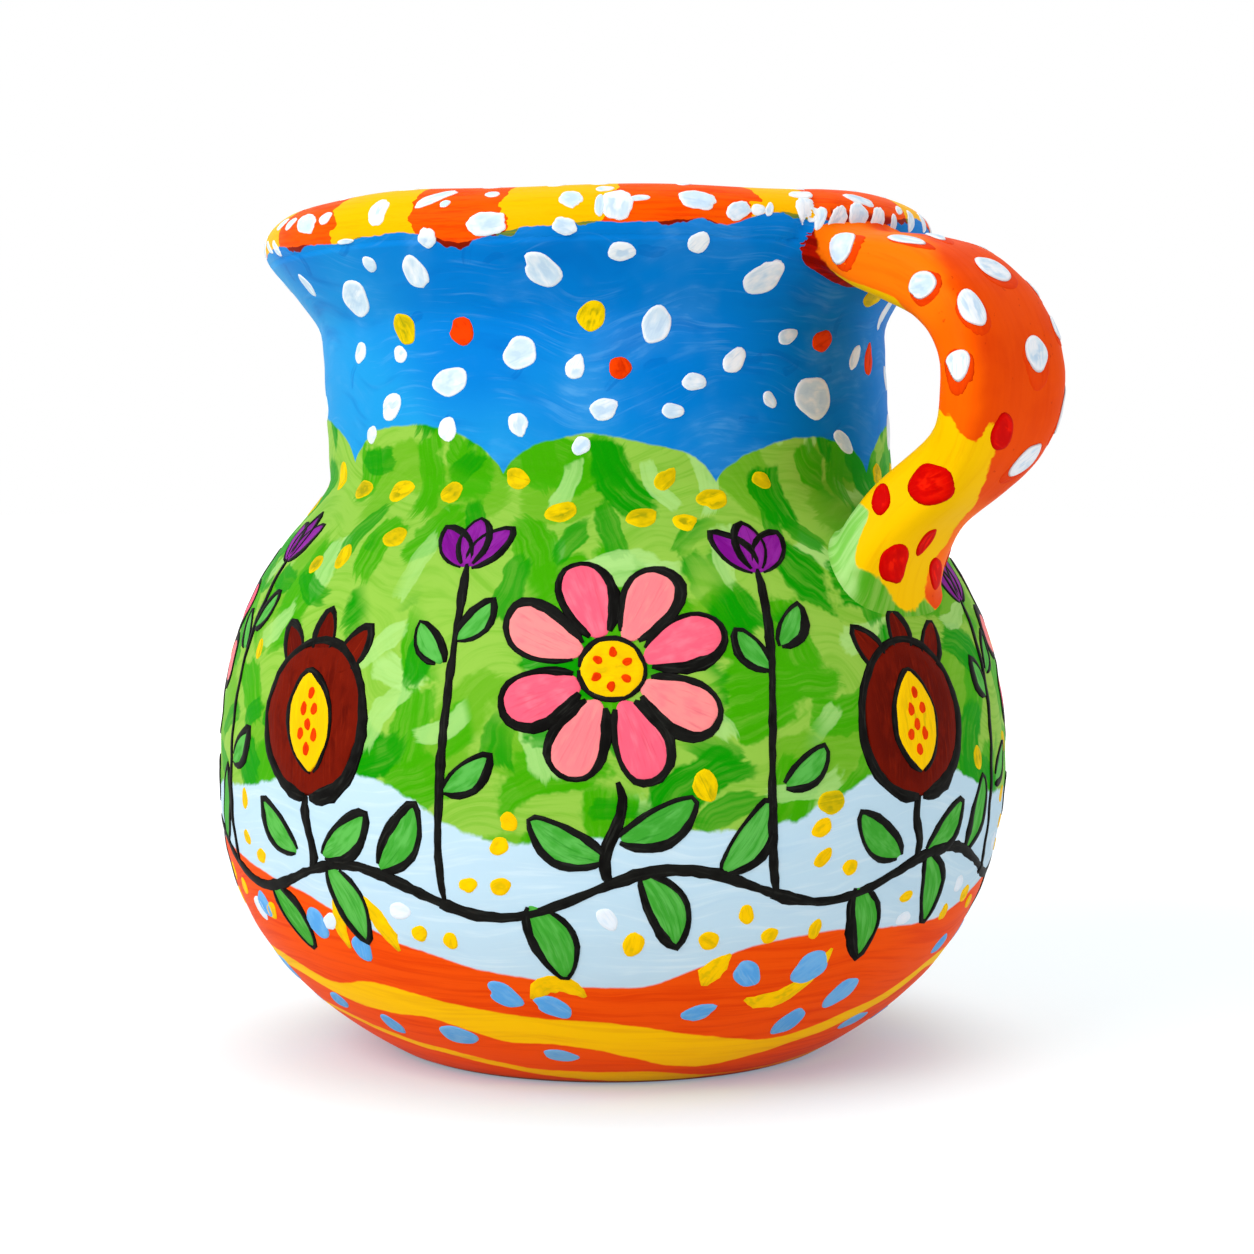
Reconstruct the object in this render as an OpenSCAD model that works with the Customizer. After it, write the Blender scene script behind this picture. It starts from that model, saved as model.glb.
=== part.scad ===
// Wheel-thrown ceramic jug with a rolled lip and one pulled strap handle.
// Sizes are in millimetres. The origin is the centre of the flat base, +Z is up,
// and the handle stands on the +X side.
//
// The body is a revolve of one wall outline. The lip is a coil laid on the rim of
// that wall, the handle is a loft along two curves, and each of them is stuck on
// with a layer of slip, the thin clay that potters use as glue.

/* [Body] */
// Diameter of the flat base
base_d = 98; // [80:1:110]
// Diameter of the belly at its widest
belly_d = 180; // [165:1:210]
// Height of the widest part of the belly above the base
belly_z = 65; // [55:1:80]
// Height from the widest part of the belly up to the neck
shoulder_h = 65; // [58:1:80]
// Outer diameter of the straight neck
neck_d = 129; // [115:1:138]
// Height of the straight neck
neck_h = 30; // [22:1:45]
// Height of the flare between the neck and the lip
flare_h = 19; // [15:1:26]
// Thickness of the thrown wall
wall_t = 6; // [4:0.5:8]
// Thickness of the base at its middle
base_t = 8; // [6:0.5:12]
// Reach of the round corner between the inside floor and the wall
floor_round = 14; // [8:1:20]

/* [Curve of the wall] */
// Angle above the table at which the wall leaves the base, in degrees
base_angle = 28; // [20:1:40]
// How far the wall keeps that first angle
base_pull = 32; // [24:1:38]
// How far the lower wall runs upright below the widest part
belly_pull = 29; // [20:1:36]
// How far the wall runs upright above the widest part
shoulder_pull = 47; // [36:1:52]
// How far the wall runs upright below the neck
neck_pull = 8.5; // [5:0.5:14]
// How far the flare runs upright above the neck
flare_pull = 5.5; // [3:0.5:9]
// How far the flare runs straight below the lip
lip_pull = 13.5; // [8:0.5:16]

/* [Lip] */
// Outer diameter of the lip
lip_d = 153; // [148:1:165]
// Half width of the lip outside its crest
lip_out = 10; // [7:0.5:12]
// Half width of the lip inside its crest
lip_in = 5; // [4:0.5:7]
// Height of the crest above the widest line of the lip
lip_rise = 7.5; // [6:0.5:9]
// Depth of the rim joint below the widest line of the lip
lip_drop = 3.5; // [2:0.5:4.5]

/* [Handle path] */
// Depth of the middle of the handle's root below the rim joint
root_drop = 1.5; // [0:0.5:5]
// Clear gap for the fingers between the neck and the bow of the handle
finger_gap = 35; // [28:1:45]
// Depth of the bow, the outermost point, below the root
bow_drop = 25; // [20:1:30]
// Depth of the buried end of the foot below the bottom of the neck
foot_drop = 32; // [28:1:36]
// Depth of that end inside the outer face of the wall
foot_sink = 10; // [7:0.5:13]
// Angle of the handle at its foot, in degrees above the table
foot_angle = 85; // [75:1:95]
// How far the handle runs level away from the root
root_pull = 37; // [28:1:42]
// How far it runs upright above the bow
bow_pull = 7; // [4:1:14]
// How far it runs upright below the bow
waist_pull = 29; // [22:1:34]
// How far it keeps the foot's angle above the buried end
foot_pull = 39; // [32:1:44]

/* [Handle section] */
// Width at the root
root_w = 31; // [25:1:38]
// Width on the crown, between the root and the bow
crown_w = 34; // [27:1:40]
// Width at the bow
bow_w = 37; // [30:1:42]
// Width at the waist, between the bow and the foot
waist_w = 22; // [18:1:30]
// Width at the foot
foot_w = 38; // [30:1:44]
// Thickness at the root
root_t = 12; // [9:0.5:14]
// Thickness on the crown
crown_t = 16; // [12:0.5:18]
// Thickness at the bow
bow_t = 13.5; // [10:0.5:17]
// Thickness at the waist
waist_t = 15; // [12:0.5:18]
// Thickness at the foot
foot_t = 15.5; // [12:0.5:19]
// Squareness of the strap's section, from 2 for an ellipse up to a soft rectangle
strap_power = 3.6; // [2:0.1:5]
// Squareness of the section where the foot is smoothed onto the shoulder
foot_power = 2.3; // [2:0.1:5]

/* [Slip joints] */
// Thickness of the slip in a joint
slip_t = 0.8; // [0.5:0.1:1.2]
// Width of slip squeezed out round the handle's ends
slip_bead = 1.6; // [1:0.1:2.5]

/* [Hidden] */

// Straight faces on a full turn, and steps along one curve of an outline
$fn = 96;
curve_steps = 16;
lip_steps = 24;
// Least height between a corner's end and the next point of the inner face
point_gap = 0.5;
// Rings along half of the handle, and points round its section
path_steps = 26;
section_points = 36;

base_r = base_d / 2;
belly_r = belly_d / 2;
neck_r = neck_d / 2;
neck_low_z = belly_z + shoulder_h;
neck_high_z = neck_low_z + neck_h;
rim_z = neck_high_z + flare_h;

// The lip's section is a half ellipse on each side of its crest, cut off level on
// the rim. The slip joint is the lowest slice of it and the coil is the rest, so the
// edges of both, and of the rim below, follow from the ellipse.
crest_r = lip_d / 2 - lip_out;
lip_mid_z = rim_z + lip_drop;
seat_angle = asin(lip_drop / lip_rise);
coil_angle = asin((lip_drop - slip_t) / lip_rise);

UP = [0, 1];

function ray(angle) = [cos(angle), sin(angle)];
function unit(v) = v / norm(v);

// A cubic curve through four control points, and a run of points along it.
function bezier(p, t) =
    pow(1 - t, 3) * p[0] + 3 * pow(1 - t, 2) * t * p[1]
    + 3 * (1 - t) * t * t * p[2] + pow(t, 3) * p[3];
function bezier_heading(p, t) = unit(
    pow(1 - t, 2) * (p[1] - p[0]) + 2 * (1 - t) * t * (p[2] - p[1])
    + t * t * (p[3] - p[2]));
function bezier_run(p, steps = curve_steps) =
    [for (i = [0:steps]) bezier(p, i / steps)];
function after_first(points) = [for (i = [1:len(points) - 1]) points[i]];
function backwards(points) =
    [for (i = [len(points) - 1:-1:0]) points[i]];

// Moves each point of an outline that runs upwards out along its normal.
function heading_at(points, i) =
    unit(points[min(i + 1, len(points) - 1)] - points[max(i - 1, 0)]);
function grow(points, distance) = [
    for (i = [0:len(points) - 1])
        let (t = heading_at(points, i))
        points[i] + distance * [t[1], -t[0]]
];

// Radius of an outline at a height.
function radius_at(points, z) =
    lookup(z, [for (p = points) [p[1], p[0]]]);

// A point on the lip's section, with 0 degrees outside and 90 at the crest.
function lip_point(angle) = [
    crest_r + (abs(angle) < 90 ? lip_out : lip_in) * cos(angle),
    lip_mid_z + lip_rise * sin(angle)
];
function lip_run(first, last) =
    [for (i = [0:lip_steps]) lip_point(first + (last - first) * i / lip_steps)];

seat_out = lip_point(-seat_angle);
seat_in = lip_point(180 + seat_angle);
lip_heading = unit([lip_out * sin(seat_angle), lip_rise * cos(seat_angle)]);
throat_heading = unit([-lip_in * sin(seat_angle), lip_rise * cos(seat_angle)]);

// Outer face of the wall, from the base up to the rim.
base_edge = [base_r, 0];
widest = [belly_r, belly_z];
neck_low = [neck_r, neck_low_z];
neck_high = [neck_r, neck_high_z];
lower_wall = bezier_run([
    base_edge, base_edge + base_pull * ray(base_angle),
    widest - belly_pull * UP, widest
]);
upper_wall = bezier_run([
    widest, widest + shoulder_pull * UP,
    neck_low - neck_pull * UP, neck_low
]);
flare = bezier_run([
    neck_high, neck_high + flare_pull * UP,
    seat_out - lip_pull * lip_heading, seat_out
]);
pot_side = concat(lower_wall, after_first(upper_wall));
outer_face = concat(pot_side, flare);

// Inner face of the wall, which thickens under the lip to carry it.
inner_side = grow(pot_side, -wall_t);
inner_neck_high = neck_high - [wall_t, 0];
throat = bezier_run([
    inner_neck_high, inner_neck_high + flare_pull * UP,
    seat_in - flare_pull * throat_heading, seat_in
]);

// Round corner between the floor and the wall. It starts on the flat floor and
// ends on the inner face, as far up it as it reaches along the floor.
floor_edge_r = radius_at(inner_side, base_t);
floor_rise = floor_round * sin(base_angle);
corner_top_z = base_t + floor_rise;
floor_corner = [floor_edge_r, base_t];
floor_start = floor_corner - [floor_round, 0];
corner_top = [radius_at(inner_side, corner_top_z), corner_top_z];
corner_weight = 2 / 3;
floor_curve = bezier_run([
    floor_start, floor_start + corner_weight * (floor_corner - floor_start),
    corner_top + corner_weight * (floor_corner - corner_top), corner_top
]);
inner_face = concat(
    floor_curve,
    [for (p = inner_side) if (p[1] > corner_top_z + point_gap) p],
    throat);

// The outline of the whole pot, wall and lip, that the handle sits against.
pot_face = concat(outer_face, after_first(lip_run(-seat_angle, 90)));

// Middle line of the handle, in the plane through the pot's axis.
root_z = rim_z - root_drop;
root = [neck_r, root_z];
bow = [neck_r + finger_gap + bow_t / 2, root_z - bow_drop];
foot_z = neck_low_z - foot_drop;
foot = [radius_at(pot_side, foot_z) - foot_sink, foot_z];
crown_curve = [root, root + [root_pull, 0], bow + bow_pull * UP, bow];
tail_curve = [bow, bow - waist_pull * UP, foot + foot_pull * ray(foot_angle), foot];

// Sizes of the section at five even steps along the handle, eased in between.
handle_widths = [root_w, crown_w, bow_w, waist_w, foot_w];
handle_thicknesses = [root_t, crown_t, bow_t, waist_t, foot_t];
handle_powers = [strap_power, strap_power, strap_power, strap_power, foot_power];
function ease(t) = t * t * (3 - 2 * t);
function eased(values, s) =
    let (
        place = s * (len(values) - 1),
        i = min(floor(place), len(values) - 2)
    )
    values[i] + (values[i + 1] - values[i]) * ease(place - i);

// One ring of the handle, s from 0 at the root to 1 at the foot. The section is
// a superellipse, square to the middle line and wider by margin on every side.
function soft_power(v, power) = sign(v) * pow(abs(v), 2 / power);
function handle_ring(s, margin) =
    let (
        curve = s < 0.5 ? crown_curve : tail_curve,
        t = s < 0.5 ? 2 * s : 2 * s - 1,
        middle = bezier(curve, t),
        heading = bezier_heading(curve, t),
        half_w = eased(handle_widths, s) / 2 + margin,
        half_t = eased(handle_thicknesses, s) / 2 + margin,
        power = eased(handle_powers, s)
    )
    [for (k = [0:section_points - 1])
        let (
            turn = 360 * k / section_points,
            out = half_t * soft_power(cos(turn), power),
            across = half_w * soft_power(sin(turn), power)
        )
        [middle[0] - heading[1] * out, across, middle[1] + heading[0] * out]];

// A closed loft of the handle between two places along it.
module handle_loft(first, last, margin = 0) {
    steps = round(2 * path_steps * (last - first));
    n = section_points;
    rings = [for (i = [0:steps])
        handle_ring(first + (last - first) * i / steps, margin)];
    sides = [for (i = [0:steps - 1], k = [0:n - 1])
        let (a = i * n + k, b = i * n + (k + 1) % n)
        each [[a, b, b + n], [a, b + n, a + n]]];
    z = steps * n;
    ends = [for (k = [1:n - 2])
        each [[0, k + 1, k], [z, z + k, z + k + 1]]];
    polyhedron([for (r = rings) each r], concat(sides, ends));
}

// The whole pot as one filled solid, grown outwards by a distance.
module filled_pot(distance) {
    face = grow(pot_face, distance);
    rotate_extrude()
        polygon(concat([[0, face[0][1]]], face, [[0, face[len(face) - 1][1]]]));
}

// Slip between the pot and a stretch of the handle, squeezed out round it.
module handle_slip(first, last) {
    intersection() {
        handle_loft(first, last, slip_bead);
        difference() {
            filled_pot(slip_t);
            filled_pot(0);
        }
    }
}

module body() {
    color("mediumseagreen")
        rotate_extrude()
            polygon(concat(
                [[0, 0]], outer_face,
                backwards(inner_face), [[0, base_t]]));
}

module lip_slip_joint() {
    color("peru")
        rotate_extrude()
            polygon([
                seat_out, lip_point(-coil_angle),
                lip_point(180 + coil_angle), seat_in
            ]);
}

module lip_coil() {
    color("gold")
        rotate_extrude()
            polygon(lip_run(-coil_angle, 180 + coil_angle));
}

module handle() {
    color("orangered")
        difference() {
            handle_loft(0, 1);
            filled_pot(slip_t);
        }
}

module upper_slip_joint() {
    color("peru") handle_slip(0, 0.5);
}

module lower_slip_joint() {
    color("peru") handle_slip(0.5, 1);
}

body();
lip_slip_joint();
lip_coil();
handle();
upper_slip_joint();
lower_slip_joint();
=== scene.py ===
# %% [markdown]
# # A hand-painted clay jug
# The jug is thrown on a wheel: a round belly, a short wide neck, a rolled lip and a pulled strap handle.
# It is then painted all over with thick acrylic. The CAD solids give the sizes, and this lesson gives the
# surface: hand-made shapes, brush marks, and dabs of paint that stand a little proud of the clay.

# %% The frame
import math

import bpy
import numpy as np
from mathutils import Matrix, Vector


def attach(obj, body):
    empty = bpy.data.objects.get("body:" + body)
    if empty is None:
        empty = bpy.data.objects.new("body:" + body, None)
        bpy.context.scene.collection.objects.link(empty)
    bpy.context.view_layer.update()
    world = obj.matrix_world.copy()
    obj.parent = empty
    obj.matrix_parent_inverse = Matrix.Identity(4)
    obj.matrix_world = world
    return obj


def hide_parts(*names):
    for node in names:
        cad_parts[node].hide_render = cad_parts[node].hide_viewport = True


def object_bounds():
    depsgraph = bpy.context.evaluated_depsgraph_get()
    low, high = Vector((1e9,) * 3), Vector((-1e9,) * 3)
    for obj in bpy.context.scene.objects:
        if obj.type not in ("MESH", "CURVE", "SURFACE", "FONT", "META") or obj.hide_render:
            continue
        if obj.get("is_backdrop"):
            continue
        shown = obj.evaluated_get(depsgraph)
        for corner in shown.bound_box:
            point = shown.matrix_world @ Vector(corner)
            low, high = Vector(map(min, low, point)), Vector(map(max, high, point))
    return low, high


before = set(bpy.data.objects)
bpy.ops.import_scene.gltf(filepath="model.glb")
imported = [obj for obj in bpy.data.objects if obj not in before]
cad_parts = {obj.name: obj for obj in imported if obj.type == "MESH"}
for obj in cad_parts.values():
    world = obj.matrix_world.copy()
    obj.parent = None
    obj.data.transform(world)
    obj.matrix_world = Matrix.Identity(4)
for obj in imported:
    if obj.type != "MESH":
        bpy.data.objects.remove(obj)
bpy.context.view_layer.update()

MM = 0.001

# %% [markdown]
# ## Camera, floor and light
# The photo was taken from the height of the shoulder, about 0.6 m away, with the handle to the right and
# towards us. The floor and the background are white, so the floor glows a little for camera rays and still
# takes the shadow. Close round the jug it glows less, a painted shadow that deepens the real one. One large
# soft lamp stands at the front left, a weaker one at the right and a third above and behind, as in a small
# product studio.

# %% Camera
CAMERA_TURN = math.radians(40.4)
CAMERA_AWAY = 0.617
CAMERA_HEIGHT = 0.1315
CAMERA_PITCH = math.radians(3.35)
CAMERA_YAW = math.radians(0.37)
FRAME_PIXELS = 1254
FOCAL_PIXELS = 2673

camera_data = bpy.data.cameras.new("camera")
camera_data.sensor_width = 36
camera_data.lens = FOCAL_PIXELS / FRAME_PIXELS * camera_data.sensor_width
camera = bpy.data.objects.new("camera", camera_data)
camera.location = (
    CAMERA_AWAY * math.sin(CAMERA_TURN),
    -CAMERA_AWAY * math.cos(CAMERA_TURN),
    CAMERA_HEIGHT,
)
camera.rotation_euler = (math.pi / 2 - CAMERA_PITCH, 0, CAMERA_TURN - CAMERA_YAW)
bpy.context.scene.collection.objects.link(camera)
bpy.context.scene.camera = camera
bpy.context.scene.view_settings.view_transform = "Standard"
CAMERA_RIGHT = np.array([math.cos(CAMERA_TURN), math.sin(CAMERA_TURN)])
FRONT = -math.pi / 2 + CAMERA_TURN
print("lens", round(camera_data.lens, 1), "mm")

# %% [markdown]
# ## A small kit for materials
# Every finish here is a set of nodes. Wiring nodes by hand is slow to read, so one small class stands for
# a socket: adding or multiplying two of them adds a Math node, and its node method makes any other node.

# %% Sockets with arithmetic
def srgb(red, green, blue):
    """A screen colour, 0 to 255, as the linear colour that a shader takes."""
    values = [v / 255 for v in (red, green, blue)]
    return tuple(v / 12.92 if v <= 0.04045 else ((v + 0.055) / 1.055) ** 2.4 for v in values) + (1.0,)


class Wire:
    """An output socket in a node tree, with arithmetic on values."""

    def __init__(self, tree, socket=None):
        self.tree = tree
        self.socket = socket

    def node(self, kind, settings=None, inputs=None, output=0):
        made = self.tree.nodes.new(kind)
        for name, value in (settings or {}).items():
            if name in ("stops", "smooth"):
                self.set_stops(made.color_ramp, value, "CONSTANT" if name == "stops" else "CARDINAL")
            else:
                setattr(made, name, value)
        for key, value in (inputs or {}).items():
            if isinstance(value, Wire):
                self.tree.links.new(value.socket, made.inputs[key])
            else:
                made.inputs[key].default_value = value
        return Wire(self.tree, made.outputs[output])

    def set_stops(self, ramp, stops, between):
        """Colours along a ramp, with hard edges or smooth bends between them."""
        ramp.interpolation = between
        for number, (place, colour) in enumerate(stops):
            stop = ramp.elements[number] if number < 2 else ramp.elements.new(place)
            stop.position = place
            stop.color = colour

    def also(self, name):
        """Another output of the same node."""
        return Wire(self.tree, self.socket.node.outputs[name])

    def math(self, operation, *values):
        return self.node("ShaderNodeMath", {"operation": operation}, dict(enumerate(values)))

    def __add__(self, other):
        return self.math("ADD", self, other)

    __radd__ = __add__

    def __mul__(self, other):
        return self.math("MULTIPLY", self, other)

    __rmul__ = __mul__

    def __sub__(self, other):
        return self.math("SUBTRACT", self, other)

    def __rsub__(self, other):
        return self.math("SUBTRACT", other, self)

    def __truediv__(self, other):
        return self.math("DIVIDE", self, other)

    def __rtruediv__(self, other):
        return self.math("DIVIDE", other, self)

    def __abs__(self):
        return self.math("ABSOLUTE", self)

    def sin(self):
        return self.math("SINE", self)

    def cos(self):
        return self.math("COSINE", self)

    def step(self, low, high):
        """0 below low and 1 above high, with a soft edge between."""
        return self.node(
            "ShaderNodeMapRange",
            {"interpolation_type": "SMOOTHSTEP"},
            {"Value": self, "From Min": low, "From Max": high},
        )

    def mix(self, first, second):
        """A colour: first where this value is 0, second where it is 1."""
        return self.node("ShaderNodeMix", {"data_type": "RGBA"}, {0: self, 6: first, 7: second}, 2)

    def vector(self, operation, *values, output=0):
        return self.node("ShaderNodeVectorMath", {"operation": operation}, dict(enumerate(values)), output)

    def join(self, x, y, z):
        """A vector from three values."""
        return self.node("ShaderNodeCombineXYZ", None, {0: x, 1: y, 2: z})

    def split(self):
        """The three values of a vector or colour."""
        parts = self.node("ShaderNodeSeparateXYZ", None, {0: self}).socket.node
        return [Wire(self.tree, out) for out in parts.outputs]

    def noise(self, scale, detail=2.0, roughness=0.5, output=0):
        """Noise read at this vector."""
        values = {"Vector": self, "Scale": scale, "Detail": detail, "Roughness": roughness}
        return self.node("ShaderNodeTexNoise", None, values, output)

    def attribute(self, name):
        """A number that write_values put on the vertices."""
        return self.node("ShaderNodeAttribute", {"attribute_name": name}, None, 2)


def new_finish(name):
    """A material, its empty wire and its main shader."""
    material = bpy.data.materials.new(name)
    material.use_nodes = True
    tree = material.node_tree
    return material, Wire(tree), tree.nodes["Principled BSDF"]


def feed(shader, **sockets):
    """Links wires, or sets plain values, on a shader. An underscore in a name stands for a space."""
    for name, value in sockets.items():
        target = shader.inputs[name.replace("_", " ")]
        if isinstance(value, Wire):
            value.tree.links.new(value.socket, target)
        else:
            target.default_value = value


print("white as a shader takes it", srgb(255, 255, 255))

# %% Floor
WHITE, BLACK = (1, 1, 1, 1), (0, 0, 0, 1)
FLOOR_SIZE = 12


def seen_rays(wire):
    """1 for rays that the camera sees straight, in a gloss or through glass, and 0 for all others."""
    rays = wire.node("ShaderNodeLightPath")
    total = rays.also("Is Camera Ray") + rays.also("Is Glossy Ray") + rays.also("Is Transmission Ray")
    return total.step(0.4, 0.6)


bpy.ops.object.select_all(action="DESELECT")
bpy.ops.mesh.primitive_plane_add(size=FLOOR_SIZE)
floor = bpy.context.active_object
floor.name = "floor"
floor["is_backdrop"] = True
floor_finish, wire, shader = new_finish("white_table")
seen = seen_rays(wire)
away = wire.vector("LENGTH", wire.node("ShaderNodeTexCoord", output=3), output=1)
# Painted shadow: close round the jug the floor glows less for camera rays and is a cooler colour, so it shows
# darker there and the orange light that the jug throws onto it is painted out. Far off it glows plain white.
beside = away.step(0.05, 0.105)
painted_shadow_glow = beside.mix((0.19, 0.225, 0.275, 1), (0.58, 0.64, 0.66, 1))
shadow_tinted_paper = beside.mix((0.6, 0.7, 0.7, 1), (0.48, 0.46, 0.45, 1))
feed(
    shader,
    Base_Color=seen.mix((0.86, 0.85, 0.85, 1), shadow_tinted_paper),
    Roughness=0.9,
    Specular_IOR_Level=0.0,
    Emission_Color=seen.mix(BLACK, away.step(0.2, 0.75).mix(painted_shadow_glow, WHITE)),
    Emission_Strength=1.0,
)
floor.data.materials.append(floor_finish)
print("floor", FLOOR_SIZE, "m wide")

# %% World and lamps
world = bpy.data.worlds.new("studio")
bpy.context.scene.world = world
world.use_nodes = True
seen = seen_rays(Wire(world.node_tree))
feed(world.node_tree.nodes["Background"], Color=seen.mix((0.5, 0.5, 0.51, 1), WHITE), Strength=1.0)
LAMP_AIM = np.array([0, 0, 0.1])


def soft_lamp(name, turn, away, height, size, power):
    """A square lamp that looks at the middle of the jug. Turn is from the camera, to its right."""
    angle = FRONT + math.radians(turn)
    data = bpy.data.lights.new(name, "AREA")
    data.shape = "SQUARE"
    data.size = size
    data.energy = power
    lamp = bpy.data.objects.new(name, data)
    lamp.location = (away * math.cos(angle), away * math.sin(angle), height)
    aim = LAMP_AIM - np.array(lamp.location)
    lamp.rotation_euler = (
        math.acos(-aim[2] / np.linalg.norm(aim)),
        0,
        math.atan2(aim[1], aim[0]) - math.pi / 2,
    )
    bpy.context.scene.collection.objects.link(lamp)


soft_lamp("key_lamp", -48, 1.1, 0.75, 0.9, 12)
soft_lamp("fill_lamp", 60, 1.3, 0.5, 0.9, 4)
soft_lamp("top_lamp", 180, 0.3, 1.3, 1.0, 5)

# %% [markdown]
# ## The jug's skin as a curve
# A thrown pot is a curve spun round an axis, so its whole outside can be given by two numbers: the turn round
# the axis and the rise along the curve from the edge of the base. Modelling the curve once, as numbers, lets
# the wall, the lip and every dab of paint share one surface, so the paint can't float or sink.

# %% The skin curve
def bend(start, out, back, end, count):
    """Points along a cubic curve. The two middle points pull it, as handles do on a Bezier curve."""
    t = np.linspace(0, 1, count)[:, None]
    a, b, c, d = (np.array(p, float) for p in (start, out, back, end))
    return a * (1 - t) ** 3 + 3 * b * t * (1 - t) ** 2 + 3 * c * t * t * (1 - t) + d * t**3


def lengths(curve):
    """The length of a curve up to each of its points."""
    return np.concatenate([[0], np.cumsum(np.linalg.norm(np.diff(curve, axis=0), axis=1))])


BASE_RADIUS = 49
BELLY = (90, 65)
NECK_RADIUS = 64.5
NECK_LOW, NECK_HIGH = 130, 160
WALL = 6
LIP_MIDDLE = (66.5, 182.5)
LIP_OUT, LIP_IN, LIP_HALF = 10, 5, 7.5
SEAT_DROP = 3.5
SEAT_ANGLE = math.asin(SEAT_DROP / LIP_HALF)
# How far each end of a curve pulls it, in mm
BASE_PULL, BELLY_DOWN, BELLY_UP, NECK_DOWN, NECK_UP, SEAT_PULL = 32, 29, 47, 8.5, 5.5, 13.5
BASE_SLOPE = math.radians(28)


def lip_curve(angles):
    """Points on the lip's section. Angle 0 is its outermost point and a quarter turn its crest."""
    reach = np.where(np.cos(angles) > 0, LIP_OUT, LIP_IN)
    return np.stack([LIP_MIDDLE[0] + reach * np.cos(angles), LIP_MIDDLE[1] + LIP_HALF * np.sin(angles)], 1)


seat = lip_curve(np.array([-SEAT_ANGLE]))[0]
seat_heading = np.array([LIP_OUT * math.sin(SEAT_ANGLE), LIP_HALF * math.cos(SEAT_ANGLE)])
seat_heading /= np.linalg.norm(seat_heading)
base_pull = BASE_PULL * np.array([math.cos(BASE_SLOPE), math.sin(BASE_SLOPE)])
belly_low = (BELLY[0], BELLY[1] - BELLY_DOWN)
belly_high = (BELLY[0], BELLY[1] + BELLY_UP)
neck_low = (NECK_RADIUS, NECK_LOW)
neck_high = (NECK_RADIUS, NECK_HIGH)
wall_parts = [
    bend((BASE_RADIUS, 0), (BASE_RADIUS, 0) + base_pull, belly_low, BELLY, 120),
    bend(BELLY, belly_high, (NECK_RADIUS, NECK_LOW - NECK_DOWN), neck_low, 120)[1:],
    np.linspace(neck_low, neck_high, 31)[1:],
    bend(neck_high, (NECK_RADIUS, NECK_HIGH + NECK_UP), seat - SEAT_PULL * seat_heading, seat, 60)[1:],
]
wall_curve = np.vstack(wall_parts)
skin_curve = np.vstack([wall_curve, lip_curve(np.linspace(-SEAT_ANGLE, math.pi + SEAT_ANGLE, 120))[1:]])
skin_rise = lengths(skin_curve)
WALL_RISE = skin_rise[len(wall_curve) - 1]
crest = int(np.argmax(skin_curve[:, 1]))
print("rise of the wall", round(WALL_RISE, 1), "mm; of the whole skin", round(skin_rise[-1], 1), "mm")

# %% From turn and rise to a point
def rise_at(height):
    """The rise of a height on the outside."""
    return np.interp(height, skin_curve[: crest + 1, 1], skin_rise[: crest + 1])


def radius_at(height):
    """The outside radius at a height."""
    return np.interp(height, skin_curve[: crest + 1, 1], skin_curve[: crest + 1, 0])


def skin_section(rise):
    """Radius, height and outward normal on the curve."""
    radius = np.interp(rise, skin_rise, skin_curve[:, 0])
    height = np.interp(rise, skin_rise, skin_curve[:, 1])
    ahead = np.clip(rise + 0.5, 0, skin_rise[-1])
    behind = np.clip(rise - 0.5, 0, skin_rise[-1])
    run = np.interp(ahead, skin_rise, skin_curve[:, 0]) - np.interp(behind, skin_rise, skin_curve[:, 0])
    climb = np.interp(ahead, skin_rise, skin_curve[:, 1]) - np.interp(behind, skin_rise, skin_curve[:, 1])
    length = np.hypot(run, climb)
    return radius, height, climb / length, -run / length


def on_skin(spot, x, y, out):
    """Points on the jug round a spot (turn in degrees from the front, height in mm).

    x runs to the right, y up along the skin, and out stands proud of it.
    """
    turn, height = spot
    rise = np.clip(rise_at(height) + y, 0.2, skin_rise[-1] - 0.2)
    radius, level, tilt_out, tilt_up = skin_section(rise)
    angle = FRONT + math.radians(turn) + x / radius
    radius = radius + out * tilt_out
    return np.stack([radius * np.cos(angle), radius * np.sin(angle), level + out * tilt_up], 1)


# %% The hand in it
LEAN_HEIGHTS = (0, 35, 65, 130, 160, 182, 190)
LEAN = (0, -0.1, 0.6, 0.2, -1.3, -2.4, -2.4)
RIM_TIP = 1.1
FOLD_TURN = FRONT + math.radians(35)


def fade(value, low, high):
    """0 below low and 1 above high, with a soft step between."""
    t = np.clip((value - low) / (high - low), 0, 1)
    return t * t * (3 - 2 * t)


def hand_made(points):
    """Moves ideal points, in mm, as the potter's hands did: a slight lean, a tipped rim, and soft waves."""
    x, y, z = points.T
    turn = np.arctan2(y, x)
    radius = np.hypot(x, y)
    above = fade(z, 2, 25)
    wave = 0.3 * np.sin(2 * turn + 0.6 + z / 70) + 0.2 * np.sin(3 * turn + 1.9 - z / 45)
    wave += 0.07 * np.sin(z * 0.72 + 0.6 * np.sin(turn)) + 0.12 * np.sin(5 * turn + z / 20)
    lip = fade(z, 170, 181)
    wave += lip * (0.3 * np.sin(7 * turn + 1) + 0.22 * np.sin(13 * turn + 2.2))
    slant = turn - FOLD_TURN - 0.012 * (z - 183)
    crease = np.exp(-((slant / 0.018) ** 2)) - 0.6 * np.exp(-(((slant - 0.05) / 0.035) ** 2))
    wave -= 1.1 * lip * fade(radius, 66, 70) * crease * (radius < 79)
    moved = radius + above * wave
    lift = RIM_TIP * (points[:, :2] @ CAMERA_RIGHT) / 75 * fade(z, 140, 182)
    lift += lip * (0.35 * np.sin(3 * turn + 0.4) + 0.25 * np.sin(8 * turn + 1.1))
    shift = np.interp(z, LEAN_HEIGHTS, LEAN)
    return np.stack(
        [
            moved * np.cos(turn) + shift * CAMERA_RIGHT[0],
            moved * np.sin(turn) + shift * CAMERA_RIGHT[1],
            z + lift,
        ],
        1,
    )


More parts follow.
